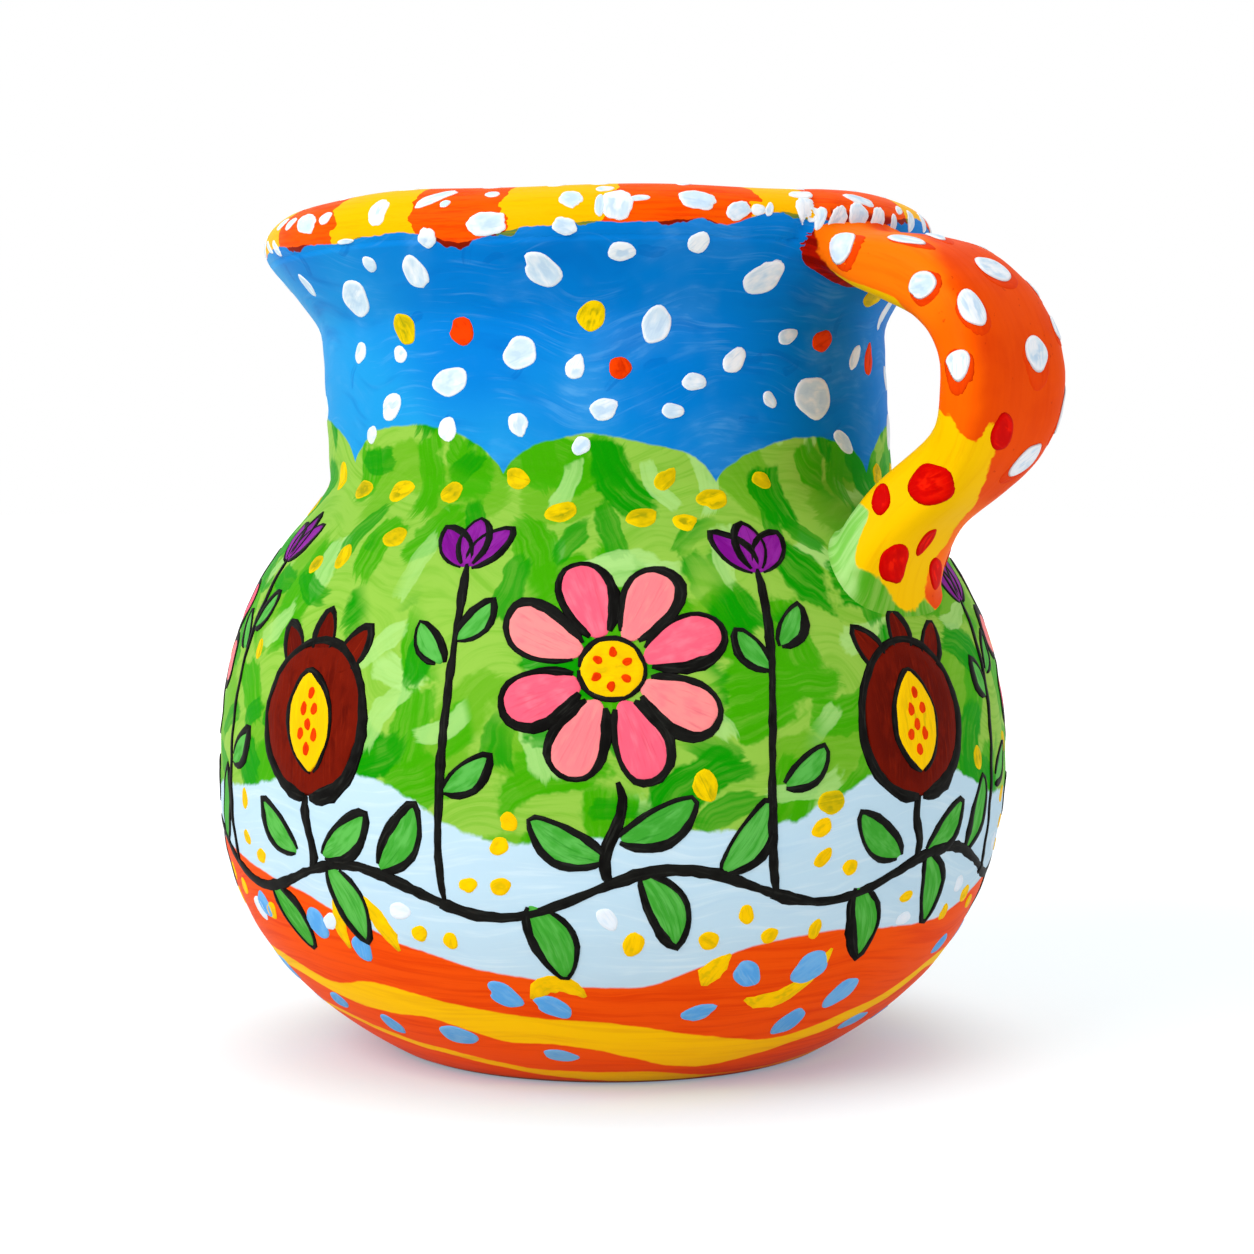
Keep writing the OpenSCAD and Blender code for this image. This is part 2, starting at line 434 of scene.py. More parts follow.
def read_points(piece):
    """A piece's vertices, in mm."""
    flat = np.empty(len(piece.data.vertices) * 3, np.float32)
    piece.data.vertices.foreach_get("co", flat)
    return flat.reshape(-1, 3).astype(float) / MM


def write_points(piece, points):
    """Puts ideal points, in mm, on a piece's vertices, through the potter's hand."""
    piece.data.vertices.foreach_set("co", (hand_made(points) * MM).astype(np.float32).ravel())
    piece.data.update()


def write_values(piece, name, values):
    """A named number on each vertex, for a material to read."""
    layer = piece.data.attributes.get(name) or piece.data.attributes.new(name, "FLOAT", "POINT")
    layer.data.foreach_set("value", np.asarray(values, np.float32))


print("lean of the rim", LEAN[-1], "mm; tip", RIM_TIP, "mm")

# %% [markdown]
# ## The thrown wall
# On the wheel the wall is pulled up from one lump. In Blender the same shape is a chain of points, extruded
# one after another in edit mode and spun once round the axis. A cylinder with many bevels could be pushed
# into shape too, but the chain keeps the CAD curve until hand_made moves it.

# %% Spin a chain of points
def smooth_out():
    """Turns all faces outwards, leaves edit mode and shades the piece smooth."""
    bpy.ops.mesh.select_all(action="SELECT")
    bpy.ops.mesh.normals_make_consistent(inside=False)
    bpy.ops.object.mode_set(mode="OBJECT")
    bpy.ops.object.shade_smooth()


def thrown(name, section, steps):
    """A piece spun from a chain of (radius, height) points in mm."""
    bpy.ops.object.select_all(action="DESELECT")
    bpy.ops.mesh.primitive_plane_add(size=MM)
    piece = bpy.context.active_object
    piece.name = name
    bpy.ops.object.mode_set(mode="EDIT")
    bpy.ops.mesh.merge(type="CENTER")
    bpy.ops.transform.translate(value=(section[0][0] * MM, 0, section[0][1] * MM))
    for run, climb in np.diff(section, axis=0) * MM:
        bpy.ops.mesh.extrude_vertices_move(TRANSFORM_OT_translate={"value": (run, 0, climb)})
    bpy.ops.mesh.select_all(action="SELECT")
    bpy.ops.mesh.spin(steps=steps, angle=2 * math.pi, center=(0, 0, 0), axis=(0, 0, 1))
    bpy.ops.mesh.select_all(action="SELECT")
    bpy.ops.mesh.remove_doubles(threshold=2e-6)
    smooth_out()
    return piece


def even(curve, gap):
    """The same curve with its points about a gap apart."""
    along = lengths(curve)
    marks = np.linspace(0, along[-1], max(2, int(round(along[-1] / gap)) + 1))
    return np.stack([np.interp(marks, along, curve[:, 0]), np.interp(marks, along, curve[:, 1])], 1)


FLOOR_THICK = 8
FLOOR_EDGE = (40, FLOOR_THICK)
CORNER_TOP = 24
SKIN_GAP, INNER_GAP, FLAT_GAP = 1.6, 3, 4
BODY_STEPS = 240
wall_normal = np.stack(skin_section(skin_rise[: len(wall_curve)])[2:], 1)
inner_wall = (wall_curve - WALL * wall_normal)[::-1]
seat_in = lip_curve(np.array([math.pi + SEAT_ANGLE]))[0]
throat_low = np.array([NECK_RADIUS - WALL, NECK_HIGH])
throat = bend(seat_in, seat_in + (-0.9, -6), throat_low + (0, 6), throat_low, 20)
belly_in = inner_wall[(inner_wall[:, 1] < NECK_HIGH) & (inner_wall[:, 1] > CORNER_TOP)]
corner = bend(belly_in[-1], belly_in[-1] - (8.5, 9), (52, FLOOR_THICK), FLOOR_EDGE, 16)[1:]
section = np.vstack(
    [
        even(np.array([(0, 0), (BASE_RADIUS - 0.6, 0)]), FLAT_GAP),
        even(wall_curve, SKIN_GAP)[1:],
        even(np.vstack([seat, seat_in]), INNER_GAP)[1:-1],
        even(np.vstack([throat, belly_in, corner]), INNER_GAP),
        even(np.array([FLOOR_EDGE, (0, FLOOR_THICK)]), FLAT_GAP)[1:],
    ]
)
body = thrown("thrown_body", section, BODY_STEPS)
ideal = read_points(body)
from_axis = np.hypot(ideal[:, 0], ideal[:, 1])
outside = (from_axis > radius_at(ideal[:, 2]) - 1.0) & (ideal[:, 2] > 0.02)
write_points(body, ideal)
print("body", len(body.data.vertices), "points,", len(body.data.polygons), "faces")

# %% [markdown]
# ## The rolled lip
# The lip is a coil laid on the rim, flattened outwards. Its section is two half ellipses. The waves and the
# fold beside the handle come from the same hand_made function as the wall, so the two stay together.

# %% Lip
TUCK = math.radians(12)
LIP_STEPS = 300
lip_section = lip_curve(np.linspace(-SEAT_ANGLE - TUCK, math.pi + SEAT_ANGLE + TUCK, 44))
under = even(np.vstack([lip_section[-1], lip_section[0]]), INNER_GAP)[1:-1]
lip = thrown("rolled_lip", np.vstack([lip_section, under, lip_section[:1]]), LIP_STEPS)
write_points(lip, read_points(lip))
print("lip", len(lip.data.vertices), "points,", len(lip.data.polygons), "faces")

# %% [markdown]
# ## The pulled strap handle
# A potter pulls a strap from a lump of clay, bends it, and smooths both ends into the pot with wet fingers.
# A curve with a bevel would give one section all along, but this strap changes: thin at the root, wide at
# the bow, narrow at the waist and round and wide at the foot. So a grid is rolled into a tube, and each of
# its lines runs along the strap and then flares onto the skin.

# %% The strap as a table of points
BOW = (106.9, 152.5)
CROWN = bend((64.5, 176.1), (97.0, 176.9), (106.6, 161.0), BOW, 121)
FOOT = np.array([74.1, 98.0])
FOOT_PULL, FOOT_STEEP = 39, math.radians(85)
foot_rise = FOOT_PULL * np.array([math.cos(FOOT_STEEP), math.sin(FOOT_STEEP)])
TAIL = bend(BOW, (106.5, 123.5), FOOT + foot_rise, FOOT, 121)
strap_line = np.vstack([CROWN, TAIL[1:]])
strap_along = np.linspace(0, 1, len(strap_line))
# Sizes at the root, crown, bow, waist and foot. Square is the power of the rounded section
STRAP_WIDE = (31, 34, 37, 22, 36)
STRAP_THICK = (8.6, 14.8, 12.7, 15, 15.5)
STRAP_SQUARE = (3.6, 3.6, 3.6, 3.6, 2.3)
PRESS_DEEP, PRESS_UP = 0.4, 3.5
AROUND = 145


def eased(values, along):
    """Values at even stations along the strap, with soft steps between."""
    place = np.clip(along * (len(values) - 1), 0, len(values) - 1.001)
    first = place.astype(int)
    t = fade(place - first, 0, 1)
    values = np.array(values, float)
    return values[first] * (1 - t) + values[first + 1] * t


def strap_section(wide, thick, square):
    """An even ring of (across, out) points from the middle of the inner face round to it again."""
    angle = np.linspace(-math.pi, math.pi, 721)
    across = wide / 2 * np.sign(np.sin(angle)) * np.abs(np.sin(angle)) ** (2 / square)
    out = thick / 2 * np.sign(np.cos(angle)) * np.abs(np.cos(angle)) ** (2 / square)
    ring = np.stack([across, out], 1)
    length = lengths(ring)
    marks = np.linspace(0, length[-1], AROUND)
    return np.stack([np.interp(marks, length, across), np.interp(marks, length, out)], 1), length[-1]


def pressed(ring, deep, raised):
    """A ring whose near side is deeper below and lifted, where a thumb pressed the clay onto the lip."""
    across, out = ring.T
    near = (1 - across / across.max()) / 2
    return np.stack([across, np.where(out < 0, out * (1 + deep * near), out) + raised * near**2], 1)


deeper = PRESS_DEEP * fade(strap_along, 0, 0.07) * (1 - fade(strap_along, 0.1, 0.26))
raised = PRESS_UP * (1 - fade(strap_along, 0.015, 0.1))
heading = np.gradient(strap_line, axis=0)
heading /= np.linalg.norm(heading, axis=1)[:, None]
sizes = zip(*(eased(values, strap_along) for values in (STRAP_WIDE, STRAP_THICK, STRAP_SQUARE)))
rings = [strap_section(*size) for size in sizes]
strap_girth = np.array([girth for ring, girth in rings])
hand_rings = [pressed(ring, low, high) for (ring, girth), low, high in zip(rings, deeper, raised)]
strap_table = np.stack(
    [
        np.stack(
            [middle[0] - ahead[1] * ring[:, 1], ring[:, 0], middle[1] + ahead[0] * ring[:, 1]],
            1,
        )
        for ring, middle, ahead in zip(hand_rings, strap_line, heading)
    ]
)
STRAP_LENGTH = np.linalg.norm(np.diff(strap_line, axis=0), axis=1).sum()
down_strap = np.gradient(strap_table, axis=0)
round_strap = np.gradient(strap_table, axis=1)
strap_normal = np.cross(round_strap, down_strap)
strap_normal /= np.linalg.norm(strap_normal, axis=2)[:, :, None] + 1e-9
quarter = len(strap_line) // 4
outer_middle = strap_normal[quarter, AROUND // 2]
if outer_middle[0] * -heading[quarter][1] + outer_middle[2] * heading[quarter][0] < 0:
    strap_normal = -strap_normal
print("strap", round(STRAP_LENGTH, 1), "mm long, girth", strap_girth.min().round(1), "mm or more")

# %% Reading the strap
def from_table(table, around, along):
    """Values between the table's own. Around and along run from 0 to 1."""
    row = np.clip(along, 0, 1) * (table.shape[0] - 1)
    column = np.clip(around, 0, 1) * (table.shape[1] - 1)
    row_low = np.minimum(row.astype(int), table.shape[0] - 2)
    column_low = np.minimum(column.astype(int), table.shape[1] - 2)
    a = (row - row_low)[..., None]
    b = (column - column_low)[..., None]
    near = table[row_low, column_low] * (1 - b) + table[row_low, column_low + 1] * b
    far = table[row_low + 1, column_low] * (1 - b) + table[row_low + 1, column_low + 1] * b
    return near * (1 - a) + far * a


def on_strap(spot, x, y, out):
    """Points on the strap round a spot (around, along): x across it, y towards the root, out proud."""
    around, along = spot
    s = along - y / STRAP_LENGTH
    girth = np.interp(s, strap_along, strap_girth)
    u = (around + x / girth) % 1.0
    return from_table(strap_table, u, s) + out[:, None] * from_table(strap_normal, u, s)


# %% Where each line meets the skin, and its flare
LINES = 57
FLARE_ROWS = 7
STRAP_ROWS = 84
SUNK, END_SUNK = 0.15, 2.2
SAMPLES = 1201


def outside_skin(points):
    """How far points stand off the skin, level with them."""
    return np.hypot(points[..., 0], points[..., 1]) - radius_at(points[..., 2])


def snap(points, depth):
    """Moves points straight in or out, to a depth under the skin."""
    turn = np.arctan2(points[..., 1], points[..., 0])
    radius = radius_at(points[..., 2]) - depth
    return np.stack([radius * np.cos(turn), radius * np.sin(turn), points[..., 2]], -1)


lines = np.linspace(0, 1, LINES)
ROOT_FLARE = np.full(LINES, 3.2)
ROOT_SPREAD = 1 + 0.6 * np.exp(-(((lines - 0.24) / 0.07) ** 2))
FOOT_FLARE = 2.0 + 1.6 * fade(1 - np.abs(2 * lines - 1), 0.5, 0.9)
samples = np.linspace(0, 1, SAMPLES)
lay = from_table(strap_table, np.tile(lines, (SAMPLES, 1)), np.tile(samples[:, None], (1, LINES)))
clear = outside_skin(lay) > 0
root_hit = samples[np.argmax(clear, axis=0)]
foot_hit = samples[SAMPLES - 1 - np.argmax(clear[::-1], axis=0)]


def flare(hit, sign, size, spread=1):
    """Rows from the strap onto the skin, and where on the strap they start. Spread reaches further out."""
    start = hit + sign * size / STRAP_LENGTH
    top = from_table(strap_table, lines, start)
    meet = from_table(strap_table, lines, hit)
    away = meet - meet[:-1].mean(0)
    turn = np.arctan2(meet[:, 1], meet[:, 0])
    normal = np.stack([np.cos(turn), np.sin(turn), np.zeros(LINES)], 1)
    slope = (radius_at(meet[:, 2] + 1) - radius_at(meet[:, 2] - 1)) / 2
    normal[:, 2] = -slope
    normal /= np.linalg.norm(normal, axis=1)[:, None]
    away -= (away * normal).sum(1)[:, None] * normal
    away /= np.linalg.norm(away, axis=1)[:, None]
    reach = (size * spread)[:, None] * away
    end = snap(meet + reach, SUNK)
    t = np.linspace(0, 1, FLARE_ROWS)[:, None, None]
    rows = top * (1 - t) ** 2 + 2 * meet * t * (1 - t) + end * t**2
    return np.concatenate([rows, snap(meet + 0.7 * reach, END_SUNK)[None]]), start


root_rows, root_start = flare(root_hit, 1, ROOT_FLARE, ROOT_SPREAD)
foot_rows, foot_start = flare(foot_hit, -1, FOOT_FLARE)
steps = np.linspace(0, 1, STRAP_ROWS)[1:-1, None]
middle_s = root_start * (1 - steps) + foot_start * steps
middle_rows = from_table(strap_table, np.tile(lines, (STRAP_ROWS - 2, 1)), middle_s)
handle_points = np.concatenate([root_rows[::-1], middle_rows, foot_rows])
flare_step = np.arange(FLARE_ROWS + 1)[:, None] / FLARE_ROWS
handle_s = np.concatenate(
    [
        (root_start - flare_step * 2 * ROOT_FLARE / STRAP_LENGTH)[::-1],
        middle_s,
        foot_start + flare_step * 2 * FOOT_FLARE / STRAP_LENGTH,
    ]
)
print("strap leaves the lip at", root_hit.min().round(3), "and lands at", foot_hit.max().round(3))

# %% Roll a grid into the strap
def fresh_grid(name, columns, rows):
    """A flat grid, and each vertex's column and row."""
    bpy.ops.object.select_all(action="DESELECT")
    bpy.ops.mesh.primitive_grid_add(x_subdivisions=columns - 1, y_subdivisions=rows - 1, size=1)
    piece = bpy.context.active_object
    piece.name = name
    flat = read_points(piece) * MM + 0.5
    column = np.rint(flat[:, 0] * (columns - 1)).astype(int)
    row = np.rint(flat[:, 1] * (rows - 1)).astype(int)
    return piece, column, row


def corner_points(piece):
    """The number of the vertex at each corner of a piece's faces."""
    corners = np.empty(len(piece.data.loops), np.int32)
    piece.data.loops.foreach_get("vertex_index", corners)
    return corners


def write_uv(piece, u, v):
    """Gives each corner the u and v of its vertex."""
    corners = corner_points(piece)
    layer = piece.data.uv_layers.active or piece.data.uv_layers.new(name="UVMap")
    layer.data.foreach_set("uv", np.stack([u[corners], v[corners]], 1).astype(np.float32).ravel())


def close_tube(piece):
    """Joins the long seam, closes the ends and turns the faces outwards."""
    bpy.ops.object.select_all(action="DESELECT")
    piece.select_set(True)
    bpy.context.view_layer.objects.active = piece
    bpy.ops.object.mode_set(mode="EDIT")
    bpy.ops.mesh.select_all(action="SELECT")
    bpy.ops.mesh.remove_doubles(threshold=1e-6)
    bpy.ops.mesh.select_all(action="SELECT")
    bpy.ops.mesh.fill_holes(sides=0)
    smooth_out()


handle, column, row = fresh_grid("strap_handle", LINES, len(handle_points))
write_uv(handle, lines[column], handle_s[row, column])
write_points(handle, handle_points[row, column])
write_values(handle, "from_root", (handle_s[row, column] - root_hit[column]) * STRAP_LENGTH)
close_tube(handle)
print("handle", len(handle.data.vertices), "points,", len(handle.data.polygons), "faces")

# %% [markdown]
# ## Dabs of paint
# Most of the pattern is single touches of a loaded round brush. Each leaves a low disc with a thicker rim,
# where the bristles push the paint outwards. One disc is modelled with inset and poke, and every dab is a
# copy of it with its own outline, laid on the skin. A bump in a material would look flat from the side.

# %% Model one dab
RIM_INSET, WELL_INSET = 0.13, 0.33
BIG_DAB = 10


def paint_disc(name, sides, insets, heights, under=()):
    """A closed disc of radius 1 with rings inset into it. Heights are the rings', then the middle's."""
    bpy.ops.object.select_all(action="DESELECT")
    bpy.ops.mesh.primitive_circle_add(vertices=sides, radius=1, fill_type="NGON")
    piece = bpy.context.active_object
    piece.name = name
    bpy.ops.object.mode_set(mode="EDIT")
    bpy.ops.mesh.select_mode(type="FACE")
    bpy.ops.mesh.select_all(action="SELECT")
    level = 0
    for inset, height in zip(insets, heights):
        bpy.ops.mesh.inset(thickness=inset)
        bpy.ops.transform.translate(value=(0, 0, height - level))
        level = height
    bpy.ops.mesh.poke(offset=heights[-1] - level)
    bpy.ops.mesh.select_mode(type="EDGE")
    bpy.ops.mesh.select_all(action="DESELECT")
    bpy.ops.mesh.select_non_manifold()
    bpy.ops.mesh.edge_face_add()
    bpy.ops.mesh.select_mode(type="FACE")
    for inset in under:
        bpy.ops.mesh.inset(thickness=inset)
    bpy.ops.mesh.poke()
    smooth_out()
    return piece


dab = paint_disc("one_dab", 18, (RIM_INSET, WELL_INSET), (1.0, 0.62, 0.7))
big_dab = paint_disc("one_big_dab", 26, (RIM_INSET, 0.2, 0.25), (1.0, 0.72, 0.64, 0.7), (0.4,))
swipe = paint_disc("one_swipe", 44, (0.09, 0.3), (1.0, 0.7, 0.8), (0.4,))
print("one dab", len(dab.data.polygons), "faces, one swipe", len(swipe.data.polygons))

# %% Copy, wrap and join
draw = np.random.default_rng(11)
EDGE_SUNK = 0.1


def lay_copy(master, name, outline, surface, spot, thick, lift=0.0):
    """A copy of a disc, its plan changed by an outline function, wrapped on a surface round a spot."""
    copy = bpy.data.objects.new(name, master.data.copy())
    bpy.context.scene.collection.objects.link(copy)
    unit = read_points(master) * MM
    x, y = outline(unit[:, 0], unit[:, 1])
    out = np.where(unit[:, 2] < 0.01, -EDGE_SUNK, unit[:, 2] * thick) + lift
    write_points(copy, surface(spot, x, y, out))
    write_values(copy, "rim", np.hypot(unit[:, 0], unit[:, 1]))
    write_values(copy, "tone", np.full(len(unit), draw.random()))
    slip = draw.random(2) * 90
    write_uv(copy, unit[:, 0] * np.ptp(x) / 2 + slip[0], unit[:, 1] * np.ptp(y) / 2 + slip[1])
    return copy


def join_all(name, parts):
    """One piece from many."""
    bpy.ops.object.select_all(action="DESELECT")
    for part in parts:
        part.select_set(True)
    bpy.context.view_layer.objects.active = parts[0]
    bpy.ops.object.join()
    parts[0].name = name
    bpy.ops.object.shade_smooth()
    return parts[0]


def turned(x, y, degrees):
    """x and y after a turn about the origin."""
    c, s = math.cos(math.radians(degrees)), math.sin(math.radians(degrees))
    return x * c - y * s, x * s + y * c


def dab_outline(long, wide, tilt, rough=1.0):
    """The plan of a dab: an uneven oval, at times with a tail where the brush lifted, or a notch."""
    phase = draw.random(4) * 2 * math.pi
    tail = max(0.0, draw.random() - 0.62) * 1.1 * rough
    notch = (draw.random() < 0.22) * 0.2 * rough

    def outline(x, y):
        angle = np.arctan2(y, x)
        ring = 1 + rough * (0.05 * np.sin(2 * angle + phase[0]) + 0.045 * np.sin(3 * angle + phase[1]))
        ring += rough * 0.03 * np.sin(5 * angle + phase[2])
        ring += tail * np.exp(-((np.abs(angle - 0.2) / 0.45) ** 2))
        ring -= notch * np.exp(-((np.abs(angle + 2.4) / 0.25) ** 2))
        return turned(x * ring * long, y * ring * wide, tilt)

    return outline


def swipe_outline(long, wide, tilt):
    """The plan of a wider touch: squarish, with bristle teeth where the brush left the clay."""
    phase = draw.random(3) * 2 * math.pi
    teeth = draw.uniform(-0.06, 0.06, 9)

    def outline(x, y):
        angle = np.arctan2(y, x)
        ring = (np.abs(np.cos(angle)) ** 2.4 + np.abs(np.sin(angle)) ** 2.4) ** (-1 / 2.4)
        ring *= 1 + 0.05 * np.sin(2 * angle + phase[0]) + 0.04 * np.sin(5 * angle + phase[1])
        ring += np.interp(angle, np.linspace(-0.9, 0.9, 9), teeth, left=0, right=0)
        ring += 0.02 * np.sin(11 * angle + phase[2])
        return turned(x * ring * long * 0.97, y * ring * wide * 0.97, tilt)

    return outline


def dabs(name, surface, spots, thick=0.17, grow=1.0, lift=0.0, rough=1.0):
    """Dabs from a list of (turn or around, height or along, half length, half width, tilt)."""
    made = []
    for a, b, long, wide, tilt in spots:
        master = big_dab if long * wide > BIG_DAB else dab
        outline = dab_outline(long * grow, wide * grow, tilt, rough)
        made.append(lay_copy(master, name, outline, surface, (a, b), thick, lift))
    return made


def scatter(count, turns, heights, sizes, gap, taken=()):
    """Seeded random dabs that keep a gap, in mm, from each other and from what is already there."""
    kept = [(math.radians(item[0]), rise_at(item[1]), item[2]) for item in taken]
    made = []
    for _ in range(count * 60):
        turn = draw.uniform(*turns)
        height = draw.uniform(*heights)
        long = draw.uniform(*sizes)
        rise = rise_at(height)
        radius = radius_at(height)
        sides = [(math.radians(turn) - other[0] + math.pi) % (2 * math.pi) - math.pi for other in kept]
        if any(math.hypot(s * radius, rise - o[1]) < gap + long + o[2] for s, o in zip(sides, kept)):
            continue
        made.append((turn, height, long, long * draw.uniform(0.68, 0.95), draw.uniform(-90, 90)))
        kept.append((math.radians(turn), rise, long))
        if len(made) == count:
            break
    return made


# %% White, yellow and orange dabs on the neck
NECK_WHITE = [
    (3.5, 175.7, 2.9, 2.5, 14), (15.7, 177.5, 2.7, 2.4, 50), (-9.6, 172.5, 4.7, 3.8, -66),
    (-41.6, 175, 2.2, 1.8, 20), (-32.6, 172.8, 4.0, 3.3, 77), (29, 171, 5.2, 3.9, 28),
    (-66, 172.7, 2.9, 2.4, 83), (-51, 168.8, 5.9, 4.1, 31), (9.7, 161.4, 4.2, 3.1, 61),
    (36.7, 159.4, 2.7, 1.7, 20), (-15.6, 155.8, 3.9, 3.5, 25), (-55.4, 157.2, 2.9, 2.1, 37),
    (57.5, 155.7, 3.8, 1.7, 42), (-42.3, 156.3, 2.2, 1.9, 0), (24.7, 154.3, 3.4, 2.2, 36),
    (-5.5, 152.5, 2.5, 2.1, 58), (-30.3, 150.1, 4.6, 3.2, 12), (16.4, 149.8, 2.7, 2.0, 6),
    (43, 146.9, 5.6, 4.9, 0), (32, 146.3, 2.0, 1.6, -46), (-45.9, 145, 3.6, 2.7, 32),
    (-0.7, 144.1, 3.1, 2.3, 21), (12, 143.8, 2.4, 1.7, 4), (-16.7, 141.2, 2.5, 2.2, -83),
    (-31.5, 140.1, 2.8, 2.4, 46), (-52.8, 139.2, 2.3, 1.8, 49), (51.5, 137.7, 3.8, 2.1, -30),
    (-5.1, 136.6, 2.2, 1.9, 39), (72.3, 166, 4.2, 2.4, 70),
]
NECK_YELLOW = [(-2, 163.2, 3.4, 3.0, 70), (-40.5, 161.9, 3.8, 3.1, -65), (61, 168.4, 4.6, 2.4, 0)]
NECK_ORANGE = [
    (-27, 160.7, 3.3, 3.0, -61), (64, 155.1, 3.5, 2.3, 62), (2.7, 152.6, 2.5, 2.4, -72),
    (46.2, 158.8, 3.6, 2.3, 23),
]
front_dots = NECK_WHITE + NECK_YELLOW + NECK_ORANGE
BACK = (78, 282)
back_white = scatter(46, BACK, (138, 175), (2.0, 4.8), 4.5, front_dots)
back_yellow = scatter(5, BACK, (146, 170), (2.6, 3.6), 2.0, front_dots + back_white)
back_orange = scatter(6, BACK, (144, 168), (2.5, 3.2), 2.0, front_dots + back_white + back_yellow)
neck_white = dabs("neck_white", on_skin, NECK_WHITE + back_white)
neck_yellow = dabs("neck_yellow", on_skin, NECK_YELLOW + back_yellow)
neck_orange = dabs("neck_orange", on_skin, NECK_ORANGE + back_orange)
print("neck dabs", len(neck_white), len(neck_yellow), len(neck_orange))

# %% White dabs on the lip
LIP_WHITE = [
    (3, 185.2, 3.6, 3.4, 85), (0.3, 185, 2.7, 1.1, 85), (1, 188.4, 1.7, 1.2, 0), (6.3, 186.2, 2.4, 0.8, 5),
    (15.4, 186.2, 3.9, 2.7, -12), (21.9, 184.2, 3.2, 1.9, 27), (25.3, 184.5, 1.7, 1.4, 10),
    (27.4, 184.6, 1.6, 1.0, 62), (34.9, 185.1, 3.3, 3.1, 80), (35.5, 188.2, 3.6, 1.5, 5),
    (34.2, 182.8, 1.1, 0.8, 80), (36.9, 183.2, 2.9, 1.2, 62), (40.5, 183, 3.6, 2.3, 48),
    (45.4, 183.9, 3.4, 2.9, 48), (47.6, 187.3, 4.2, 1.7, -18), (50.3, 183, 3.8, 2.3, 52),
    (55.4, 182.4, 2.8, 1.4, 65), (59.4, 186, 2.2, 1.1, 20), (63.3, 184.2, 3.3, 1.7, 45),
    (71, 185, 3.2, 1.6, 50), (-4.1, 186.5, 2.6, 2.2, -34), (-5, 180.8, 2.5, 2.0, -24),
    (-17.2, 181.8, 4.8, 2.5, 4), (-27.7, 179.2, 2.4, 2.1, 49), (-17, 188, 1.6, 1.1, 0),
    (-24.5, 186.1, 1.3, 0.9, 30), (-26.7, 187.5, 4.6, 1.6, 34), (-36.5, 185, 3.2, 2.6, 75),
    (-44.3, 179.6, 2.8, 0.6, 1), (-49.3, 185.1, 2.3, 1.5, 15), (-55.2, 184.9, 4.6, 2.4, -10),
    (-61.6, 185.6, 2.7, 1.3, 20), (-67.4, 186, 3.4, 1.2, 15), (-69.5, 181, 3.4, 1.4, -25),
    (-77, 182, 4.0, 1.0, -20),
]
SWIPE_SIZE = 4.5
lip_back = scatter(34, BACK, (181, 187), (1.9, 4.4), 2.5, LIP_WHITE)
lip_white = []
for turn, height, long, wide, tilt in LIP_WHITE + lip_back:
    wide_touch = long * wide > SWIPE_SIZE
    outline = swipe_outline(long, wide, tilt) if wide_touch else dab_outline(long, wide, tilt)
    master = swipe if wide_touch else dab
    lip_white.append(lay_copy(master, "lip_white", outline, on_skin, (turn, height), 0.2))
LIP_CREST = 189.9
inner_white = []
for turn in np.arange(0, 360, 17):
    spot = (turn + draw.uniform(-4, 4), LIP_CREST)
    outline = dab_outline(draw.uniform(1.8, 3.6), draw.uniform(1.3, 2.2), draw.uniform(-60, 60))
    inner_white.append(lay_copy(dab, "lip_top", outline, on_skin, spot, 0.18))
print("lip dabs", len(lip_white) + len(inner_white))

# %% Dabs on the handle, with a darker ring of orange under the white ones
STRAP_WHITE = [
    (0.27, 0.081, 3.5, 2.2, -16), (0.26, 0.258, 3.5, 3.0, -59), (0.331, 0.367, 5.2, 3.1, -88),
    (0.516, 0.276, 5.5, 3.8, 3), (0.26, 0.488, 3.8, 2.8, 88), (0.532, 0.469, 4.5, 4.5, 82),
    (0.564, 0.62, 4.3, 2.9, 34), (0.351, 0.17, 3.8, 2.0, -73), (0.66, 0.17, 3.8, 2.6, 70),
    (0.7, 0.3, 3.9, 3.0, 15), (0.68, 0.4, 3.8, 2.9, 80), (0.77, 0.12, 4.0, 2.8, 75),
    (0.79, 0.45, 3.8, 2.8, 80), (0.7, 0.55, 4.4, 2.7, 60), (0.5, 0.16, 4.6, 1.8, 40),
]
STRAP_RED = [
    (0.288, 0.724, 6.0, 4.7, 75), (0.219, 0.82, 3.5, 2.1, -28), (0.408, 0.578, 3.7, 3.2, -16),
    (0.386, 0.899, 4.9, 3.8, -51), (0.46, 0.845, 5.0, 2.1, -80), (0.597, 0.923, 5.0, 2.4, -45),
    (0.74, 0.71, 3.8, 3.2, 40), (0.79, 0.82, 3.6, 2.8, 60), (0.71, 0.9, 4.0, 3.0, 50),
    (0.87, 0.66, 3.4, 2.8, 20), (0.08, 0.66, 3.2, 2.6, 20), (0.03, 0.8, 3.0, 2.5, 80),
]
HALO_GROW = 1.3
HALO_DROP = 1.3
halo_spots = [(around, along + HALO_DROP / STRAP_LENGTH, *size) for around, along, *size in STRAP_WHITE]
strap_white = dabs("strap_white", on_strap, STRAP_WHITE, thick=0.16, lift=0.2, rough=0.5)
strap_halo = dabs("strap_halo", on_strap, halo_spots, thick=0.07, grow=HALO_GROW, rough=0.7)
strap_red = dabs("strap_red", on_strap, STRAP_RED, thick=0.2, lift=0.06, rough=0.7)
print("handle dabs", len(strap_white), "white on halos,", len(strap_red), "red")

# %% [markdown]
# ## Brush lines and painted shapes
# The belly carries a plain folk pattern: a vine all round it, and on the vine rosettes and round fruits in
# turn, each with a black brush outline. A line is a narrow grid rolled into a flat tube and laid along a
# path, wider and narrower as a brush is pressed and lifted. A petal or leaf is a copy of one larger disc.

